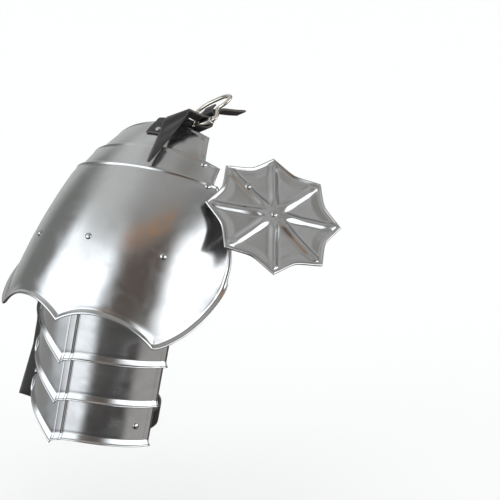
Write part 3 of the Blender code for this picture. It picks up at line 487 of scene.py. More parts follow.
def makeMainPlate():
    c = plateShape
    tip = c["tipHalf"]
    outer = tip + spaced(c["lobeHalf"] - tip, vec(0, 1), c["columnStep"], fineNear)
    half = np.concatenate([np.linspace(0, tip, int(tip / c["columnStep"]) + 1), outer[1:]])
    columns = np.concatenate([-half[:0:-1], half])
    share = columns[None] / c["lobeHalf"]
    low = plateLower(columns)[None]
    top = -c["topRise"] * share ** 2 - rearCorner(share)
    usual = c["usualSpan"]  # rows keep even steps from both edges where the plate is near this deep
    rows = spaced(1.0, rawNear / usual, c["rowStep"] / usual, fineNear / usual)[:, None]
    span = low - top
    fromTop, fromLow = rows * usual, (1 - rows) * usual
    blend = ease((rows - 0.06) / 0.86)
    s = (top + fromTop) * (1 - blend) + (low - fromLow) * blend
    s = np.where(span < c["shortSpan"], top + span * rows, s)
    s[0], s[-1] = top[0], low[0]
    w = plateAcross(share, s)
    flat = np.stack([w, s], -1)
    d = wayToLine(flat, np.concatenate([flat[:, 0], flat[-1], flat[::-1, -1]]))
    dTop = wayToLine(flat, flat[0])
    rollOut, rollIn = rolledEdge(d, c["roll"])
    lipOut, lipIn = rolledEdge(dTop, c["lip"])
    flare = c["flare"] * np.clip(1 - (low - s) / c["flareWidth"], 0, 1) ** 2
    near = d < dTop
    outer = shoulderAt(w, s, flare + np.where(near, rollOut, lipOut))
    inner = shoulderAt(w, s, flare + np.where(near, rollIn, lipIn))
    wear = bell(np.minimum(d, dTop), 1.6 * mm)
    return shellPiece("mainPlateSteel", outer, inner, flat=flat, wear=wear)


mainPlate = dress(makeMainPlate(), steelMat, "shoulder_shell", "polished_steel", "main_plate")
print("main plate", len(mainPlate.data.polygons))

# upper lames: two narrower plates that slide under the main plate towards the neck
upperShape = {"second": {"halfTop": 120 * mm, "halfLow": 125 * mm, "sTop": -31 * mm, "sLow": 9 * mm,
                         "lift": -sheetGap, "rise": 14.4 * mm, "coverAt": 0.0, "coverRise": 16 * mm},
              "top": {"halfTop": 87 * mm, "halfLow": 109 * mm, "sTop": -76 * mm, "sLow": -19 * mm,
                      "lift": -2 * sheetGap, "rise": 4.8 * mm, "coverAt": -31 * mm, "coverRise": 14.4 * mm},
              "columnStep": 2.0 * mm, "rowStep": 2.5 * mm,
              "endLineAt": 8.5 * mm, "endLineDeep": 0.35 * mm,
              "lip": {"radius": 2.0 * mm, "height": 0.8 * mm, "under": 0.1 * mm, "sheet": 1.5 * mm,
                      "sink": 0.25 * mm, "lineAt": 5.0 * mm, "lineWidth": 1.0 * mm, "fall": 1.2}}


def makeUpperLame(name, c):
    share = spaced(2.0, rawNear / c["halfTop"], upperShape["columnStep"] / c["halfTop"])[None] - 1
    tall = c["sLow"] - c["sTop"]
    rows = spaced(1.0, rawNear / tall, upperShape["rowStep"] / tall)[:, None]
    corner = rearCorner(share) / plateShape["topRise"]
    s = c["sTop"] + tall * rows - c["rise"] * (share ** 2 + corner * (1 - rows))
    w = share * (c["halfTop"] + (c["halfLow"] - c["halfTop"]) * rows)
    flat = np.stack([w, s], -1)
    edge = np.concatenate([flat[0], flat[:, -1], flat[-1, ::-1], flat[::-1, 0]])
    d = wayToLine(flat, edge)
    outer, inner = rolledEdge(d, upperShape["lip"])
    covered = s - c["coverAt"] + c["coverRise"] * (share ** 2 + corner)
    hidden = ease((covered + 6 * mm) / (4 * mm))  # what slides under the next plate is plain sheet
    ends = (1 - np.abs(share)) * c["halfLow"]
    line = upperShape["endLineDeep"] * bell(ends - upperShape["endLineAt"], 1.0 * mm)
    outer = (outer - line) * (1 - hidden) - hidden * 0.1 * mm
    return shellPiece(name, shoulderAt(w, s, c["lift"] + outer), shoulderAt(w, s, c["lift"] + inner),
                      flat=flat, wear=bell(d, 1.4 * mm))


dress(makeUpperLame("secondLameSteel", upperShape["second"]), steelMat, "second_lame_group",
      "polished_steel", "second_lame")
dress(makeUpperLame("topLameSteel", upperShape["top"]), steelMat, "top_lame_group", "polished_steel",
      "top_lame")
print("upper lames")

# arm lames: a raised rib, rolled lower edges with a point at the rib, and a sunk line by each end
lameShape = {"columnStep": 1.6 * mm, "rowStep": 2.4 * mm, "fineFrom": -16 * mm, "fineTo": 8 * mm,
             "fineStep": 0.4 * mm, "endLineAt": 8.0 * mm, "endLineDeep": 0.4 * mm,
             "cornerRound": 11 * mm, "beadHeight": 0.5 * mm,
             "ribLineDeep": 0.35 * mm, "names": ("upper_arm_lame", "middle_arm_lame", "lower_arm_lame"),
             "roll": {"radius": 1.3 * mm, "height": 0.5 * mm, "under": 0.5 * mm, "sheet": 1.5 * mm,
                      "sink": 0.25 * mm, "lineAt": 7.6 * mm, "lineWidth": 0.9 * mm, "fall": 0.8},
             "raw": {"radius": 0.7 * mm, "height": 0.12 * mm, "under": 0.05 * mm, "sheet": 1.5 * mm,
                     "sink": 0.0, "lineAt": 3.0 * mm, "lineWidth": 1.0 * mm, "fall": 2.0}}


def edgeShift(w):  # the lames' edges rise from their point: fast then level in front, evenly behind
    c, t = armShape, np.abs(w + armShape["pointAside"]) / armShape["half"]
    return c["pointDrop"] + np.where(w > -c["pointAside"], -c["frontRise"] * t ** 0.55 + c["frontFall"] * t,
                                     -c["rearRise"] * t ** 0.85)


def ribLift(w):
    wide = armShape["ribWidth"]
    return armShape["ribHeight"] * ease((wide * 0.62 - np.abs(w)) / (wide * 0.26))


def makeArmLame(k, name):
    c, a = lameShape, armShape
    low, high, start = c["fineFrom"], c["fineTo"], vec(0, 0.8)
    fine = np.arange(low, high + 0.01 * mm, c["fineStep"])
    rear = low - spaced(a["rearHalf"] + low, start, c["columnStep"], fineNear)[:0:-1]
    front = high + spaced(a["half"] - high, start, c["columnStep"], fineNear)[1:]
    w = np.concatenate([rear, fine, front])[None]
    tall = a["shows"] + a["overlap"]
    rows = spaced(1.0, rawNear / tall, c["rowStep"] / tall, fineNear / tall)[:, None]
    # quarter circle at the rear lower corner
    corner = np.clip(1 - (w + a["rearHalf"]) / c["cornerRound"], 0, 1)
    h = k * a["shows"] + (tall - c["cornerRound"] * (1 - np.sqrt(1 - corner ** 2))) * rows + edgeShift(w)
    w = np.broadcast_to(w, h.shape)
    flat = np.stack([w, h], -1)
    low = wayToLine(flat, flat[-1])
    ends = np.minimum(a["half"] - w, w + a["rearHalf"])
    d = np.minimum(low, ends)
    rollOut, rollIn = rolledEdge(low, c["roll"])
    rawOut, rawIn = rolledEdge(np.minimum(ends, (rows * tall) + 0 * w), c["raw"])
    near = (low < ends + 1.5 * mm) & (rows > 0.5)
    outer, inner = np.where(near, rollOut, rawOut), np.where(near, rollIn, rawIn)
    line = c["endLineDeep"] * bell(ends - c["endLineAt"], 0.9 * mm)
    line = line + c["ribLineDeep"] * bell(np.abs(w) - a["ribWidth"] * 0.66, 0.7 * mm)
    bead = c["beadHeight"] * bell(ends - c["endLineAt"] * 0.5, 2.6 * mm)
    flare = a["flare"] * np.clip(1 - low / a["flareWidth"], 0, 1) ** a["flarePower"] * (rows > 0.5)
    lift = ribLift(w) + flare - k * sheetGap + bead - line
    wear = bell(d, 1.5 * mm)
    return shellPiece(name, armAt(w, h, lift + outer), armAt(w, h, lift + inner), flat=flat, wear=wear)


for k, (node, name) in enumerate(zip(lameShape["names"], ("upperArmLameSteel", "middleArmLameSteel",
                                                          "lowerArmLameSteel"))):
    dress(makeArmLame(k, name), steelMat, "shoulder_shell", "polished_steel", node)
print("arm lames")

# besagew: a low dome with a scalloped rolled edge and a rounded ridge towards each point
discShape = {"centre": vec(74.6, -175.2, -17), "normal": (-0.378, -0.558, 0.739), "up": (0.663, 0.393, 0.637),
             "radius": 77 * mm, "points": 8, "scallop": 13 * mm, "dome": 2 * mm, "ridge": 2.6 * mm,
             "ridgeHalf": 7.0 * mm, "hollow": 2.6 * mm, "steel": 1.2 * mm, "hole": 1.9 * mm, "perSector": 56,
             "roll": {"radius": 1.5 * mm, "height": 0.9 * mm, "under": 0.8 * mm, "sheet": 1.2 * mm,
                      "sink": 0.5 * mm, "lineAt": 4.4 * mm, "lineWidth": 0.9 * mm, "fall": 1.0}}
discNormal = unit(np.array(discShape["normal"]))
discUp = np.array(discShape["up"])
discUp = unit(discUp - discNormal * (discUp @ discNormal))
discSide = np.cross(discUp, discNormal)


def discEdge(turn):  # radius of the edge: between two points it runs in by the scallop's depth
    c = discShape
    part = (turn * c["points"] / (2 * math.pi)) % 1.0
    return c["radius"] - c["scallop"] * (1 - np.abs(2 * part - 1) ** 1.7)


def discLift(r, turn):  # dome, ridges of even width, and a slight hollow between them
    c = discShape
    sector = 2 * math.pi / c["points"]
    off = (turn + sector / 2) % sector - sector / 2
    aside = np.abs(r * np.sin(off))
    share = r / discEdge(turn)
    body = np.exp(-(aside / (c["ridgeHalf"] * 0.62)) ** 2.4)
    ridge = c["ridge"] * body * ease((share - 0.08) / 0.2) * ease((1.0 - share) / 0.16)
    between = c["hollow"] * ease((share - 0.1) / 0.4) * ease((1 - share) / 0.25)
    return c["dome"] * (1 - share ** 1.6) + ridge - between


def discAt(r, turn, lift=0.0):
    r, turn, lift = together(r, turn, lift)
    high = (discLift(r, turn) + lift)[..., None]
    r, turn = r[..., None], turn[..., None]
    return (discShape["centre"] + discUp * (r * np.cos(turn)) + discSide * (r * np.sin(turn))
            + discNormal * high)


def makeBesagew():
    c = discShape
    per = c["perSector"]
    part = (np.arange(per) / per)
    part = part - 0.055 * np.sin(4 * math.pi * part) * 0.9 * np.sign(0.5 - np.abs(part - 0.5))
    turn = np.concatenate([(k + part) * 2 * math.pi / c["points"] for k in range(c["points"])])[None]
    share = spaced(1.0, np.array([0, 0.008]), 1 / 60, fineNear / c["radius"])[:, None]
    full = discEdge(turn)
    r = c["hole"] + (full - c["hole"]) * share
    x, y = r * np.cos(turn), r * np.sin(turn)
    edge = np.stack([x[-1], y[-1]], -1)
    d = wayToLine(np.stack([x, y], -1), np.concatenate([edge, edge[:1]]))
    outer, inner = rolledEdge(d, c["roll"])
    wear = bell(d, 1.2 * mm)
    return shellPiece("besagewSteel", discAt(r, turn, outer), discAt(r, turn, inner), wrap=True,
                      flat=np.stack([x, y], -1), wear=wear)


dress(makeBesagew(), steelMat, "shoulder_shell", "polished_steel", "besagew")
print("besagew")

# leather strips: rows of left, middle and right points become a smooth band with rounded edges
leatherShape = {"thick": 2.4 * mm, "strapThick": 2.6 * mm, "edgeRound": 0.7 * mm, "across": 17,
                "every": 1.6 * mm}


def resample(rows, every):  # smooth curve through the rows, at even steps along the middle line
    rows = np.asarray(rows, float)
    n = len(rows)
    slope = np.gradient(rows, axis=0)
    way = np.linalg.norm(np.diff(rows[:, 1], axis=0), axis=1)
    start = np.concatenate([[0], np.cumsum(way)])
    where = np.linspace(0, start[-1], max(8, int(start[-1] / every)))
    k = np.clip(np.searchsorted(start, where, side="right") - 1, 0, n - 2)
    t = ((where - start[k]) / way[k])[:, None, None]
    rate = slope / np.maximum(np.gradient(start), 1e-9)[:, None, None]
    step = way[k][:, None, None]
    return joinCurve(rows[k], rate[k] * step, rows[k + 1], rate[k + 1] * step, t)


def leatherStrip(name, rows, thick, every=None):
    c = leatherShape
    rows = resample(rows, every or c["every"])
    u = np.linspace(-1, 1, c["across"])
    u = np.sign(u) * (1 - (1 - np.abs(u)) ** 1.35)
    u = u[None, :, None]
    left, mid, right = rows[:, 0:1], rows[:, 1:2], rows[:, 2:3]
    face = left * u * (u - 1) / 2 + mid * (1 - u * u) + right * u * (u + 1) / 2
    along, across = np.gradient(face, axis=0), np.gradient(face, axis=1)
    normal = unit(np.cross(along, across))
    wide = np.linalg.norm(right - left, axis=-1)
    side = (1 - np.abs(u[..., 0])) * wide / 2
    way = np.concatenate([[0], np.cumsum(np.linalg.norm(np.diff(rows[:, 1], axis=0), axis=1))])
    end = np.minimum(way, way[-1] - way)[:, None]
    d = np.minimum(side, end)
    drop = c["edgeRound"] * (1 - np.sqrt(np.clip(1 - (1 - np.clip(d / c["edgeRound"], 0, 1)) ** 2, 0, 1)))
    outer = face - normal * drop[..., None]
    inner = face - normal * (thick - drop * 0.8)[..., None]
    wear = bell(d, 0.9 * mm)
    flat = np.stack([side, np.broadcast_to(way[:, None], side.shape)], -1)
    return shellPiece(name, outer, inner, flat=flat, wear=wear, sharp=60)


# internal leathers: from a rivet in the main plate down inside the three arm lames
hangShape = {"width": 30 * mm, "mainRow": 93 * mm, "start": -4 * mm, "end": 94 * mm + 47 * mm * 0.62,
             "middleMain": 12 * mm, "sideMain": 88 * mm, "frontIn": 17 * mm, "rearIn": -6 * mm,
             "tail": 62 * mm, "narrow": 0.85, "stand": 14 * mm, "standOver": 20 * mm, "turnOut": 0.5,
             "middleStand": 0.12, "rivetIn": 11 * mm, "touch": 0.3 * mm, "steel": 1.5 * mm}
across3 = np.array([-0.5, 0.0, 0.5])


def leatherDeep(h):
    deep = hangShape["steel"] + hangShape["touch"]
    for k in (1, 2):
        deep = deep + sheetGap * ease((h - (k * armShape["shows"] - 12 * mm)) / (9 * mm))
    return deep


def hangingRows(wMain, wArm, tail):
    c = hangShape
    s = c["mainRow"] + np.array([-14, -6, 0, 6, 14]) * mm
    upper = shoulderAt(wMain + across3[None] * c["width"], s[:, None], -(c["steel"] + c["touch"]))
    h = np.linspace(c["start"], c["end"], 19)
    h = np.concatenate([h, c["end"] + tail * np.arange(1, 8) / 7]) if tail else h
    w = wArm + across3[None] * c["width"] + 0 * h[:, None]
    stand = np.zeros((len(h), 3))
    if tail:  # the rear leather's free edge stands off, and its narrowing end turns outwards
        part = np.clip((h - c["end"]) / tail, 0, 1)
        stand[:, 0] = c["stand"] * (ease((h - c["start"]) / c["standOver"]) + c["turnOut"] * part)
        stand[:, 1] = stand[:, 0] * c["middleStand"]
        w = w + (part ** 1.5)[:, None] * (w[:, :1] - w) * c["narrow"]
    lower = armAt(w, h[:, None] + edgeShift(w), stand - leatherDeep(h[:, None]))
    span = np.linalg.norm(lower[0] - upper[-1], axis=-1, keepdims=True)
    t = (np.arange(1, 6) / 6)[:, None, None]
    leave, arrive = unit(upper[-1] - upper[-2]) * span, unit(lower[1] - lower[0]) * span
    return np.concatenate([upper, joinCurve(upper[-1], leave, lower[0], arrive, t), lower])


armHalf, rearHalf = armShape["half"], armShape["rearHalf"]
hangSites = {"middle": (hangShape["middleMain"], 0.0, 0.0, 0.0),
             "front": (hangShape["middleMain"] + hangShape["sideMain"], armHalf - hangShape["frontIn"],
                       0.0, 0.0),
             "rear": (hangShape["middleMain"] - hangShape["sideMain"], hangShape["rearIn"] - rearHalf,
                      hangShape["tail"], hangShape["rivetIn"])}
for label, (wMain, wArm, tail, aside) in hangSites.items():
    strip = leatherStrip(label + "HangingLeather", hangingRows(wMain, wArm, tail), leatherShape["thick"])
    dress(strip, leatherMat, "shoulder_shell", "black_leather", label + "_leather")
print("hanging leathers")

# arm strap: round the inside of the arm, between rivets near the lower lame's ends
armStrapShape = {"width": 22 * mm, "down": 40 * mm, "frontIn": 25 * mm, "rearIn": 5 * mm, "squash": 0.22}


def makeArmStrap():
    c, a = armStrapShape, armShape
    h0 = 2 * a["shows"] + c["down"]
    deep = 2 * sheetGap + 1.5 * mm + 0.9 * mm + 2.4 * mm
    wFront, wRear = armHalf - c["frontIn"], c["rearIn"] - rearHalf
    o = -across3[None]
    w = wFront - (np.array([12, 6, 0, -6]) * mm)[:, None]
    rows = [armAt(w, h0 + o * c["width"] + edgeShift(np.array(wFront)), -deep)]
    share = (np.arange(1, 24) / 24)[:, None]
    first, last = (wFront + 6 * mm) / a["radius"], 2 * math.pi + (wRear - 6 * mm) / a["radius"]
    angle = first + (last - first) * share
    h = h0 + edgeShift(np.array(wFront)) * (1 - share) + edgeShift(np.array(wRear)) * share + o * c["width"]
    radius = (a["radius"] - deep) * (1 - c["squash"] * np.sin(math.pi * share) ** 2)
    middle = a["ribTop"] - armAxis * h[..., None] - armOut * a["radius"]
    rows.append(middle + armOut * (radius * np.cos(angle))[..., None]
                + armFront * (radius * np.sin(angle))[..., None])
    w = wRear - (np.array([6, 0, -6, -12]) * mm)[:, None]
    rows.append(armAt(w, h0 + o * c["width"] + edgeShift(np.array(wRear)), -deep))
    return leatherStrip("armStrapLeather", np.concatenate(rows), leatherShape["strapThick"])


dress(makeArmStrap(), leatherMat, "shoulder_shell", "black_leather", "arm_strap")

# besagew strap: from inside the main plate's front edge to the back of the disc
discStrap = {"width": 18 * mm, "in": 10 * mm, "s": 14 * mm, "deep": 1.2 * mm + 4.2 * mm, "share": 0.54,
             "turn": -2 * math.pi / 8}
strapTurn = discStrap["turn"]
strapRadius = 1.9 * mm + (discEdge(np.array(strapTurn)) - 1.9 * mm) * discStrap["share"]
cadRidge = 2.4 * mm * (1.1 - discStrap["share"]) + discShape["dome"] * (1 - discStrap["share"] ** 1.6)
discStrapPoint = (discShape["centre"] + discUp * (strapRadius * math.cos(strapTurn))
                  + discSide * (strapRadius * math.sin(strapTurn)) + discNormal * cadRidge)
discStrapNormal = unit(discNormal + 0.10 * (discUp * math.cos(strapTurn) + discSide * math.sin(strapTurn)))


def makeBesagewStrap():
    c, deep = discStrap, 1.5 * mm + 0.6 * mm
    wStart = float(plateAcross(1.0, c["s"])) - c["in"]
    back = discStrapPoint - discStrapNormal * c["deep"]
    toDisc = unit(back - shoulderAt(wStart, c["s"], -deep))
    across = unit(np.cross(discStrapNormal, toDisc))
    along = unit(np.cross(across, discStrapNormal))
    along = along if along @ toDisc > 0 else -along
    across = across if across[2] > 0 else -across
    w = wStart + np.array([-9, -4.5, 0, 6, 14])[:, None] * mm
    first = shoulderAt(w, c["s"] - across3[None] * c["width"], -deep)
    ends = back + across[None, None] * (across3[None, :, None] * c["width"]) \
        + along[None, None] * (np.array([-12, -6, 0, 6, 12]) * mm)[:, None, None]
    span = np.linalg.norm(ends[0] - first[-1], axis=-1, keepdims=True) * 0.9
    t = (np.arange(1, 7) / 7)[:, None, None]
    join = joinCurve(first[-1], unit(first[-1] - first[-2]) * span, ends[0], along * span, t)
    return leatherStrip("besagewStrapLeather", np.concatenate([first, join, ends]), leatherShape["thick"])


dress(makeBesagewStrap(), leatherMat, "shoulder_shell", "black_leather", "besagew_strap")
print("straps of the arm and the besagew")

# buckle: a wire frame with a straight end bar in a roller, a waist bar and a round loop, and a prong
buckleShape = {"at": vec(102, -66, 65), "bar": (-0.056, -0.893, 0.448), "long": (0.890, 0.150, 0.430),
               "barHalf": 19 * mm, "waistHalf": 13 * mm, "waistAt": 20.5 * mm, "loopAt": 35 * mm,
               "loopHalf": 26 * mm, "loopDeep": 13 * mm, "wire": 2.4 * mm, "roller": 3.9 * mm,
               "prongSide": -6 * mm, "prongWire": 1.4 * mm, "touch": 0.3 * mm}
barAxis = unit(np.array(buckleShape["bar"]))
buckleLong = np.array(buckleShape["long"])
buckleLong = unit(buckleLong - barAxis * (buckleLong @ barAxis))
buckleUp = unit(np.cross(barAxis, buckleLong))


def onBuckle(across, along, up=0.0):
    across, along, up = [v[..., None] for v in together(across, along, up)]
    return buckleShape["at"] + barAxis * across + buckleLong * along + buckleUp * up


def roundedLoop(points, count):  # closed smooth curve through the points, evenly stepped
    points = np.asarray(points, float)
    n = len(points)
    slope = (np.roll(points, -1, 0) - np.roll(points, 1, 0)) / 2
    u = np.arange(count) * n / count
    k, t = u.astype(int), (u % 1.0)[:, None]
    return joinCurve(points[k], slope[k], points[(k + 1) % n], slope[(k + 1) % n], t)


def makeFrame():
    c = buckleShape
    half = [(c["barHalf"] * 0.5, 0), (c["barHalf"] - 2 * mm, 0), (c["barHalf"], 2 * mm),
            (c["barHalf"], c["waistAt"] * 0.4), (c["barHalf"] * 0.8, c["waistAt"] * 0.75),
            (c["waistHalf"], c["waistAt"])]
    turn = -math.pi / 2 + math.pi * (np.arange(1, 8) + 0.6) / 8.6
    half += list(zip(c["loopHalf"] * np.cos(turn), c["loopAt"] + c["loopDeep"] * np.sin(turn)))
    line = np.array(half + [(-a, b) for a, b in reversed(half)])
    path = roundedLoop(onBuckle(line[:, 0], line[:, 1]), 220)
    ring = sweptTube("buckleFrameNickel", path, c["wire"] * 0.85, c["wire"] * 1.12, buckleUp, True, 24)
    a = np.linspace(-c["waistHalf"] - 0.5 * mm, c["waistHalf"] + 0.5 * mm, 24)
    thin = c["wire"] * 0.9
    bar = sweptTube("waistBarNickel", onBuckle(a, c["waistAt"]), thin, thin, buckleUp, False, 20)
    return ring, bar


ring, waistBar = makeFrame()
dress(ring, nickelMat, "top_lame_group", "nickel", "buckle_frame")
dress(waistBar, nickelMat, "top_lame_group", "nickel")


def makeRoller():
    c = buckleShape
    half, r, inner = c["barHalf"] - 3.5 * mm, c["roller"], c["wire"] * 1.12 + c["touch"]
    z = np.array([-1, -0.985, -0.95, 0.95, 0.985, 1]) * half
    profile = [(inner, z[0]), (r - 0.5 * mm, z[0]), (r - 0.12 * mm, z[1]), (r, z[2]), (r, z[3]),
               (r - 0.12 * mm, z[4]), (r - 0.5 * mm, z[5]), (inner, z[5])]
    return turnedPiece("buckleRollerNickel", profile, c["at"], barAxis, 40)


dress(makeRoller(), nickelMat, "top_lame_group", "nickel", "buckle_roller")


def makeProng():
    c = buckleShape
    eye, top = c["wire"] * 0.9 + c["touch"] + c["prongWire"], c["roller"] + c["touch"] + c["prongWire"]
    turn = np.radians(-150 + 240 * np.arange(9) / 8)
    a = np.concatenate([c["waistAt"] + eye * np.cos(turn), [c["waistAt"] * 0.5, 0, -c["roller"] - 2.5 * mm]])
    b = np.concatenate([eye * np.sin(turn), [(eye + top) * 0.5 + 0.5 * mm, top, top - 0.8 * mm]])
    path = onBuckle(c["prongSide"], a, b)
    rows = np.repeat(path[:, None], 3, axis=1)
    return sweptTube("buckleProngNickel", resample(rows, 0.7 * mm)[:, 1], c["prongWire"] * 1.2,
                     c["prongWire"], barAxis, False, 18)


dress(makeProng(), nickelMat, "top_lame_group", "nickel", "buckle_prong")

# buckle tab: folded round the waist bar, then on towards the neck plate
tabShape = {"side": 3.3 * mm, "width": 14 * mm, "length": 44 * mm, "drop": 31 * mm}


def makeTab():
    c, at = tabShape, buckleShape["waistAt"]
    fold = buckleShape["wire"] * 0.9 + 0.3 * mm + leatherShape["strapThick"]
    turn = math.pi / 2 + math.pi * np.arange(9) / 8
    along = np.concatenate([[at + 9 * mm, at + 4.5 * mm], at + fold * np.cos(turn),
                            at + np.array([7, 14, 22, 32]) * mm, [at + c["length"]]])
    up = np.concatenate([[fold * 0.8, fold], fold * np.sin(turn), -fold - np.array([1, 5, 12, 21]) * mm,
                         [-fold - c["drop"]]])
    rows = onBuckle(c["side"] + across3[None] * c["width"], along[:, None], up[:, None])
    return leatherStrip("buckleTabLeather", rows, leatherShape["strapThick"], 1.0 * mm)


dress(makeTab(), leatherMat, "top_lame_group", "black_leather", "buckle_tab")

# shoulder strap: from the top lame, round the roller, its free end doubled back to a point
strapShape = {"width": 26 * mm, "baseW": 30 * mm, "baseS": np.array([-51, -58, -66, -74, -80]) * mm,
              "side": -2 * mm, "bend": (-5 * mm, -14 * mm, 28 * mm), "bendWay": (-0.9, -0.25, 0.1),
              "tip": (47 * mm, -3 * mm, 5.5 * mm), "tipAcross": (0.9, 0.14, -0.2), "slot": 4.4 * mm}


def betweenRows(first, last, count, pull):  # rows that join two ends smoothly
    t = (np.arange(1, count + 1) / (count + 1))[:, None, None]
    span = np.linalg.norm(last[0] - first[-1], axis=-1, keepdims=True) * pull
    leave, arrive = unit(first[-1] - first[-2]) * span, unit(last[1] - last[0]) * span
    return joinCurve(first[-1], leave, last[0], arrive, t)


def makeShoulderStrap():
    c = strapShape
    lift = -2 * sheetGap + 0.3 * mm + leatherShape["strapThick"]
    base = shoulderAt(c["baseW"] + across3[None] * c["width"], c["baseS"][:, None], lift)
    wrap = buckleShape["roller"] + 0.75 * mm
    turn = np.radians(-100 + 160 * np.arange(9) / 8)[:, None]
    wrapRows = onBuckle(c["side"] + across3[None] * c["width"], wrap * np.cos(turn), wrap * np.sin(turn))
    rise = betweenRows(base, wrapRows, 4, 0.8)
    bend, tip = onBuckle(*c["bend"]), shoulderAt(c["tip"][0], c["tip"][1], c["tip"][2])
    start, way = wrapRows[-1][1], unit(wrapRows[-1][1] - wrapRows[-2][1])
    bendWay = unit(np.array(c["bendWay"]))
    t = (np.arange(1, 7) / 6)[:, None]
    up = joinCurve(start, way * 30 * mm, bend, bendWay * 30 * mm, t)
    t = (np.arange(1, 10) / 9)[:, None]
    down = joinCurve(bend, bendWay * 45 * mm, tip, unit(tip - bend) * 55 * mm, t)
    centre = np.concatenate([up, down])
    share = ((np.arange(len(centre)) + 1) / len(centre))[:, None]
    mix = ease((share - 0.15) / 0.75)
    across = unit(barAxis * (1 - mix) + unit(np.array(c["tipAcross"])) * mix)
    wide = c["width"] * np.where(share < 0.72, 1, 1 - 0.9 * np.clip((share - 0.72) / 0.28, 0, 1) ** 1.4)
    tail = centre[:, None] + across[:, None] * (across3[None, :, None] * wide[:, None])
    rows = np.concatenate([base, rise, wrapRows, tail])[:, ::-1]
    return leatherStrip("shoulderStrapLeather", rows, leatherShape["strapThick"], 1.2 * mm)


shoulderStrap = makeShoulderStrap()


def punch(obj, centre, axes, size):  # cuts a slot or a hole through a leather piece
    bpy.ops.mesh.primitive_cylinder_add(vertices=28, radius=0.5, depth=1)
    tool = bpy.context.object
    tool.data.transform(Matrix.Diagonal((*size, 1)))
    turn = Matrix([list(v) for v in np.array(axes).T]).to_4x4()
    tool.data.transform(Matrix.Translation([float(v) for v in centre]) @ turn)
    cut = obj.modifiers.new("punch", "BOOLEAN")
    cut.operation, cut.solver, cut.object = "DIFFERENCE", "EXACT", tool
    graph = bpy.context.evaluated_depsgraph_get()
    done = bpy.data.meshes.new_from_object(obj.evaluated_get(graph))
    obj.modifiers.remove(cut)
    obj.data = done
    bpy.data.objects.remove(tool)


punch(shoulderStrap, onBuckle(buckleShape["prongSide"], 0.0, 7.5 * mm), (barAxis, buckleLong, buckleUp),
      (strapShape["slot"], 20 * mm, 16 * mm))
dress(shoulderStrap, leatherMat, "top_lame_group", "black_leather", "shoulder_strap")
print("buckle and shoulder strap")

# rivets: a polished dome outside, a shank through the stack and a peened head inside
rivetShape = {"head": 3.8 * mm, "dome": 2.3 * mm, "shank": 1.6 * mm, "flatHead": 0.7 * mm, "touch": 0.3 * mm}


def makeRivet(node, point, normal, stack, body, domed=True):
    c = rivetShape
    head, tall = (c["head"], c["dome"]) if domed else (c["head"] * 0.85, c["flatHead"])
    turn = np.radians(np.linspace(0, 90, 12 if domed else 7))
    top = c["touch"] * 0.4
    profile = list(zip(head * np.sin(turn), top + tall * np.cos(turn)))
    profile[0] = (0.0, top + tall)
    low = -stack
    profile += [(head * 0.985, top - 0.12 * mm), (c["shank"], top - 0.12 * mm), (c["shank"], low)]
    turn = np.radians(np.linspace(90, 0, 7))
    profile += list(zip(head * 0.85 * np.sin(turn), low - 0.9 * mm * np.cos(turn)))
    profile[-1] = (0.0, low - 0.9 * mm)
    parts = node.split("_")
    name = parts[0] + "".join(p.capitalize() for p in parts[1:]) + "Steel"
    return dress(turnedPiece(name, profile, point, normal, 32), shadedRivetMat, body, "rivet_steel", node)


shell, steel, leather = "shoulder_shell", 1.5 * mm, 2.4 * mm + 0.3 * mm
sites = []
for side, label in ((1, "front"), (-1, "rear")):
    sites.append(("pivot_rivet_lower_" + label, shoulderAt, side * 118 * mm, -8 * mm, 0.0,
                  steel + sheetGap, shell, True))
    sites.append(("pivot_rivet_upper_" + label, shoulderAt, side * 102 * mm, -35.4 * mm, -sheetGap,
                  steel + sheetGap, "second_lame_group", True))
for label, (wMain, wArm, tail, aside) in hangSites.items():
    sites.append(("main_rivet_" + label, shoulderAt, wMain, hangShape["mainRow"], 0.0,
                  steel + leather, shell, True))
    w = wArm + aside
    for k, lame in enumerate(("upper", "middle", "lower")):
        lift = float(ribLift(np.array(w)))
        sites.append((lame + "_lame_rivet_" + label, armAt, w,
                      k * armShape["shows"] + 8 * mm + float(edgeShift(np.array(w))), lift - k * sheetGap,
                      steel + leather + lift, shell, False))
for label, w in (("front", armHalf - armStrapShape["frontIn"]), ("rear", armStrapShape["rearIn"] - rearHalf)):
    h = 2 * armShape["shows"] + armStrapShape["down"] + float(edgeShift(np.array(w)))
    sites.append(("arm_strap_rivet_" + label, armAt, w, h, -2 * sheetGap,
                  steel + 0.9 * mm + 5.0 * mm, shell, True))
wStart = float(plateAcross(1.0, discStrap["s"])) - discStrap["in"]
sites.append(("besagew_strap_rivet_inner", shoulderAt, wStart, discStrap["s"], 0.0,
              steel + 0.6 * mm + 2.4 * mm, shell, False))
sites.append(("shoulder_strap_rivet", shoulderAt, strapShape["baseW"], -58 * mm, -2 * sheetGap + 2.9 * mm,
              2.6 * mm + 0.3 * mm + steel, "top_lame_group", False))
for node, place, w, s, lift, stack, body, domed in sites:
    makeRivet(node, place(w, s, lift), normalAt(place, w, s, lift), stack, body, domed)
makeRivet("besagew_rivet_centre", discShape["centre"] + discNormal * discShape["dome"], discNormal,
          1.5 * mm, shell)
makeRivet("besagew_strap_rivet_outer", discStrapPoint + discNormal * 0.5 * mm, discStrapNormal,
          discStrap["deep"] + 2.4 * mm, shell)
print("rivets")

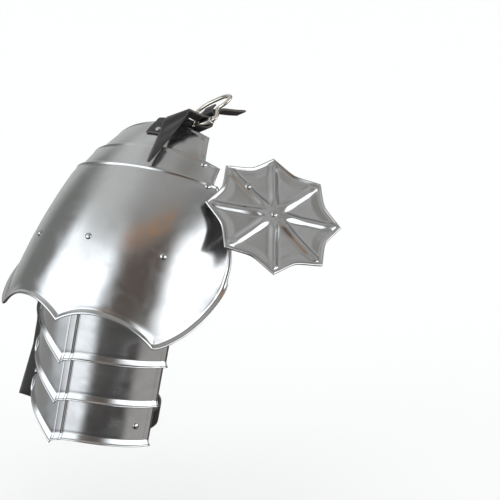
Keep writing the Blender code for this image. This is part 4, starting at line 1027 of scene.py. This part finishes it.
# floor, light and camera
studio = {
    "floorAt": -0.42, "floorColour": (0.95, 0.95, 0.945), "seen": (1.02, 1.02, 1.02),
    "ceiling": (0.46, 0.46, 0.45), "wall": (0.24, 0.245, 0.235), "low": (0.085, 0.08, 0.078),
    # each patch of the room: middle bearing and height, half width and half height, two softnesses, light
    "patches": [
        ("frontBox", -87, 10, 41, 18, 9, 8, (2.3, 2.35, 2.4)),
        ("rearBox", 147, 18, 34, 22, 10, 10, (2.1, 2.2, 2.3)),
        ("rearLow", 168, -8, 18, 7, 8, 6, (1.5, 1.55, 1.6)),
        ("backdrop", 42, 6, 26, 30, 12, 14, (0.60, 0.61, 0.60)),
        ("above", -45, 50, 30, 14, 14, 10, (0.52, 0.52, 0.51)),
        ("skyLight", 100, 52, 60, 16, 30, 12, (0.72, 0.73, 0.72)),
        ("zenithShade", -90, 72, 45, 9, 30, 8, (0.32, 0.31, 0.29)),
        ("darkCorner", -150, 22, 21, 15, 8, 7, (0.14, 0.115, 0.10)),
        ("woodBeam", -156, 43, 24, 2.5, 8, 3, (0.56, 0.28, 0.12)),
        ("floorGlow", -78, -28, 28, 10, 8, 6, (0.52, 0.50, 0.48)),
        ("rearFloor", 85, -14, 28, 9, 8, 6, (0.36, 0.36, 0.35)),
    ]}
camera = {"bearing": 35.0, "down": 14.0, "distance": 1.9, "lens": 124.5, "shiftX": 0.298, "shiftY": -0.118}


def makeFloor():
    x, y = np.meshgrid(np.linspace(-6, 6, 25), np.linspace(-6, 6, 25))
    points = np.stack([x, y, np.full_like(x, studio["floorAt"])], -1)
    index = np.arange(625).reshape(25, 25)
    faces = np.stack([index[:-1, :-1], index[:-1, 1:], index[1:, 1:], index[1:, :-1]], -1).reshape(-1, 4)
    floor = finishMesh("studioFloor", points, faces)
    floor.visible_glossy = False  # the steel shows the room's own low part instead
    mat = bpy.data.materials.new("paleFloor")
    mat.use_nodes = True
    shader = mat.node_tree.nodes["Principled BSDF"]
    shader.inputs["Base Color"].default_value = (*studio["floorColour"], 1)
    shader.inputs["Roughness"].default_value = 0.9
    floor.data.materials.append(mat)


def makePatch():
    # mask of a soft-edged rectangle on the room: 1 inside its half sizes, easing to 0 over the softness
    names = ("Bearing", "Height", "Mid Bearing", "Mid Height", "Half Width", "Half Height", "Soft Width",
             "Soft Height")
    tree, given, out = newGroup("softPatch", [(n, "NodeSocketFloat", 0.0) for n in names],
                                [("Mask", "NodeSocketFloat")])
    masks = []
    for way, mid, half, soft in (("Bearing", "Mid Bearing", "Half Width", "Soft Width"),
                                 ("Height", "Mid Height", "Half Height", "Soft Height")):
        gap = minus(tree, given.outputs[way], given.outputs[mid])
        turned = add(tree, "ShaderNodeMath", {0: gap, 1: 180.0, 2: -180.0}, operation="WRAP")
        size = add(tree, "ShaderNodeMath", {0: turned.outputs[0]}, operation="ABSOLUTE").outputs[0]
        inner = minus(tree, given.outputs[half], given.outputs[soft])
        outer = plus(tree, given.outputs[half], given.outputs[soft])
        mask = add(tree, "ShaderNodeMapRange", {"Value": size, "From Min": inner, "From Max": outer,
                                                "To Min": 1.0, "To Max": 0.0},
                   interpolation_type="SMOOTHSTEP")
        masks.append(mask.outputs["Result"])
    tree.links.new(multiply(tree, *masks), out.inputs["Mask"])
    return tree


def makeWorld():
    c = studio
    world = bpy.data.worlds.new("studioRoom")
    bpy.context.scene.world = world
    world.use_nodes = True
    tree = world.node_tree
    way = add(tree, "ShaderNodeTexCoord").outputs["Generated"]
    parts = add(tree, "ShaderNodeSeparateXYZ", {0: way})
    turn = add(tree, "ShaderNodeMath", {0: parts.outputs[1], 1: parts.outputs[0]}, operation="ARCTAN2")
    bearing = multiply(tree, turn.outputs[0], 180 / math.pi)
    rise = add(tree, "ShaderNodeMath", {0: parts.outputs[2]}, operation="ARCSINE")
    height = multiply(tree, rise.outputs[0], 180 / math.pi)
    low = add(tree, "ShaderNodeMix", {"Factor": remap(tree, height, -14.0, -2.0, 0.0, 1.0),
                                      "A": (*c["low"], 1), "B": (*c["wall"], 1)}, data_type="RGBA")
    room = add(tree, "ShaderNodeMix", {"Factor": remap(tree, height, 35.0, 60.0, 0.0, 1.0),
                                       "A": colourOf(low), "B": (*c["ceiling"], 1)}, data_type="RGBA")
    light, group = colourOf(room), makePatch()
    for label, mid, up, wide, tall, softWide, softTall, colour in c["patches"]:
        patch = add(tree, "ShaderNodeGroup", node_tree=group, label=label)
        tree.links.new(bearing, patch.inputs["Bearing"])
        tree.links.new(height, patch.inputs["Height"])
        for key, value in zip(("Mid Bearing", "Mid Height", "Half Width", "Half Height", "Soft Width",
                               "Soft Height"), (mid, up, wide, tall, softWide, softTall)):
            patch.inputs[key].default_value = value
        light = colourOf(add(tree, "ShaderNodeMix", {"Factor": patch.outputs["Mask"], "A": light,
                                                     "B": (*colour, 1)}, data_type="RGBA"))
    path = add(tree, "ShaderNodeLightPath").outputs
    soft = plus(tree, path["Is Camera Ray"], path["Is Diffuse Ray"])
    final = add(tree, "ShaderNodeMix", {"Factor": soft, "A": light, "B": (*c["seen"], 1)}, data_type="RGBA")
    tree.links.new(colourOf(final), tree.nodes["Background"].inputs["Color"])


def makeCamera():
    c = camera
    turn, down = math.radians(c["bearing"]), math.radians(c["down"])
    look = np.array([math.cos(turn) * math.cos(down), math.sin(turn) * math.cos(down), -math.sin(down)])
    side = unit(np.cross(look, [0, 0, 1.0]))
    axes = np.stack([side, np.cross(side, look), -look], -1)
    lens = bpy.data.cameras.new("photoCamera")
    lens.lens, lens.sensor_width, lens.shift_x, lens.shift_y = c["lens"], 36.0, c["shiftX"], c["shiftY"]
    obj = bpy.data.objects.new("photoCamera", lens)
    bpy.context.scene.collection.objects.link(obj)
    obj.matrix_world = Matrix.Translation((-look * c["distance"]).tolist()) @ Matrix(axes.tolist()).to_4x4()
    bpy.context.scene.camera = obj


makeFloor()
makeWorld()
makeCamera()
bpy.context.scene.view_settings.view_transform = "Standard"
print("studio ready")
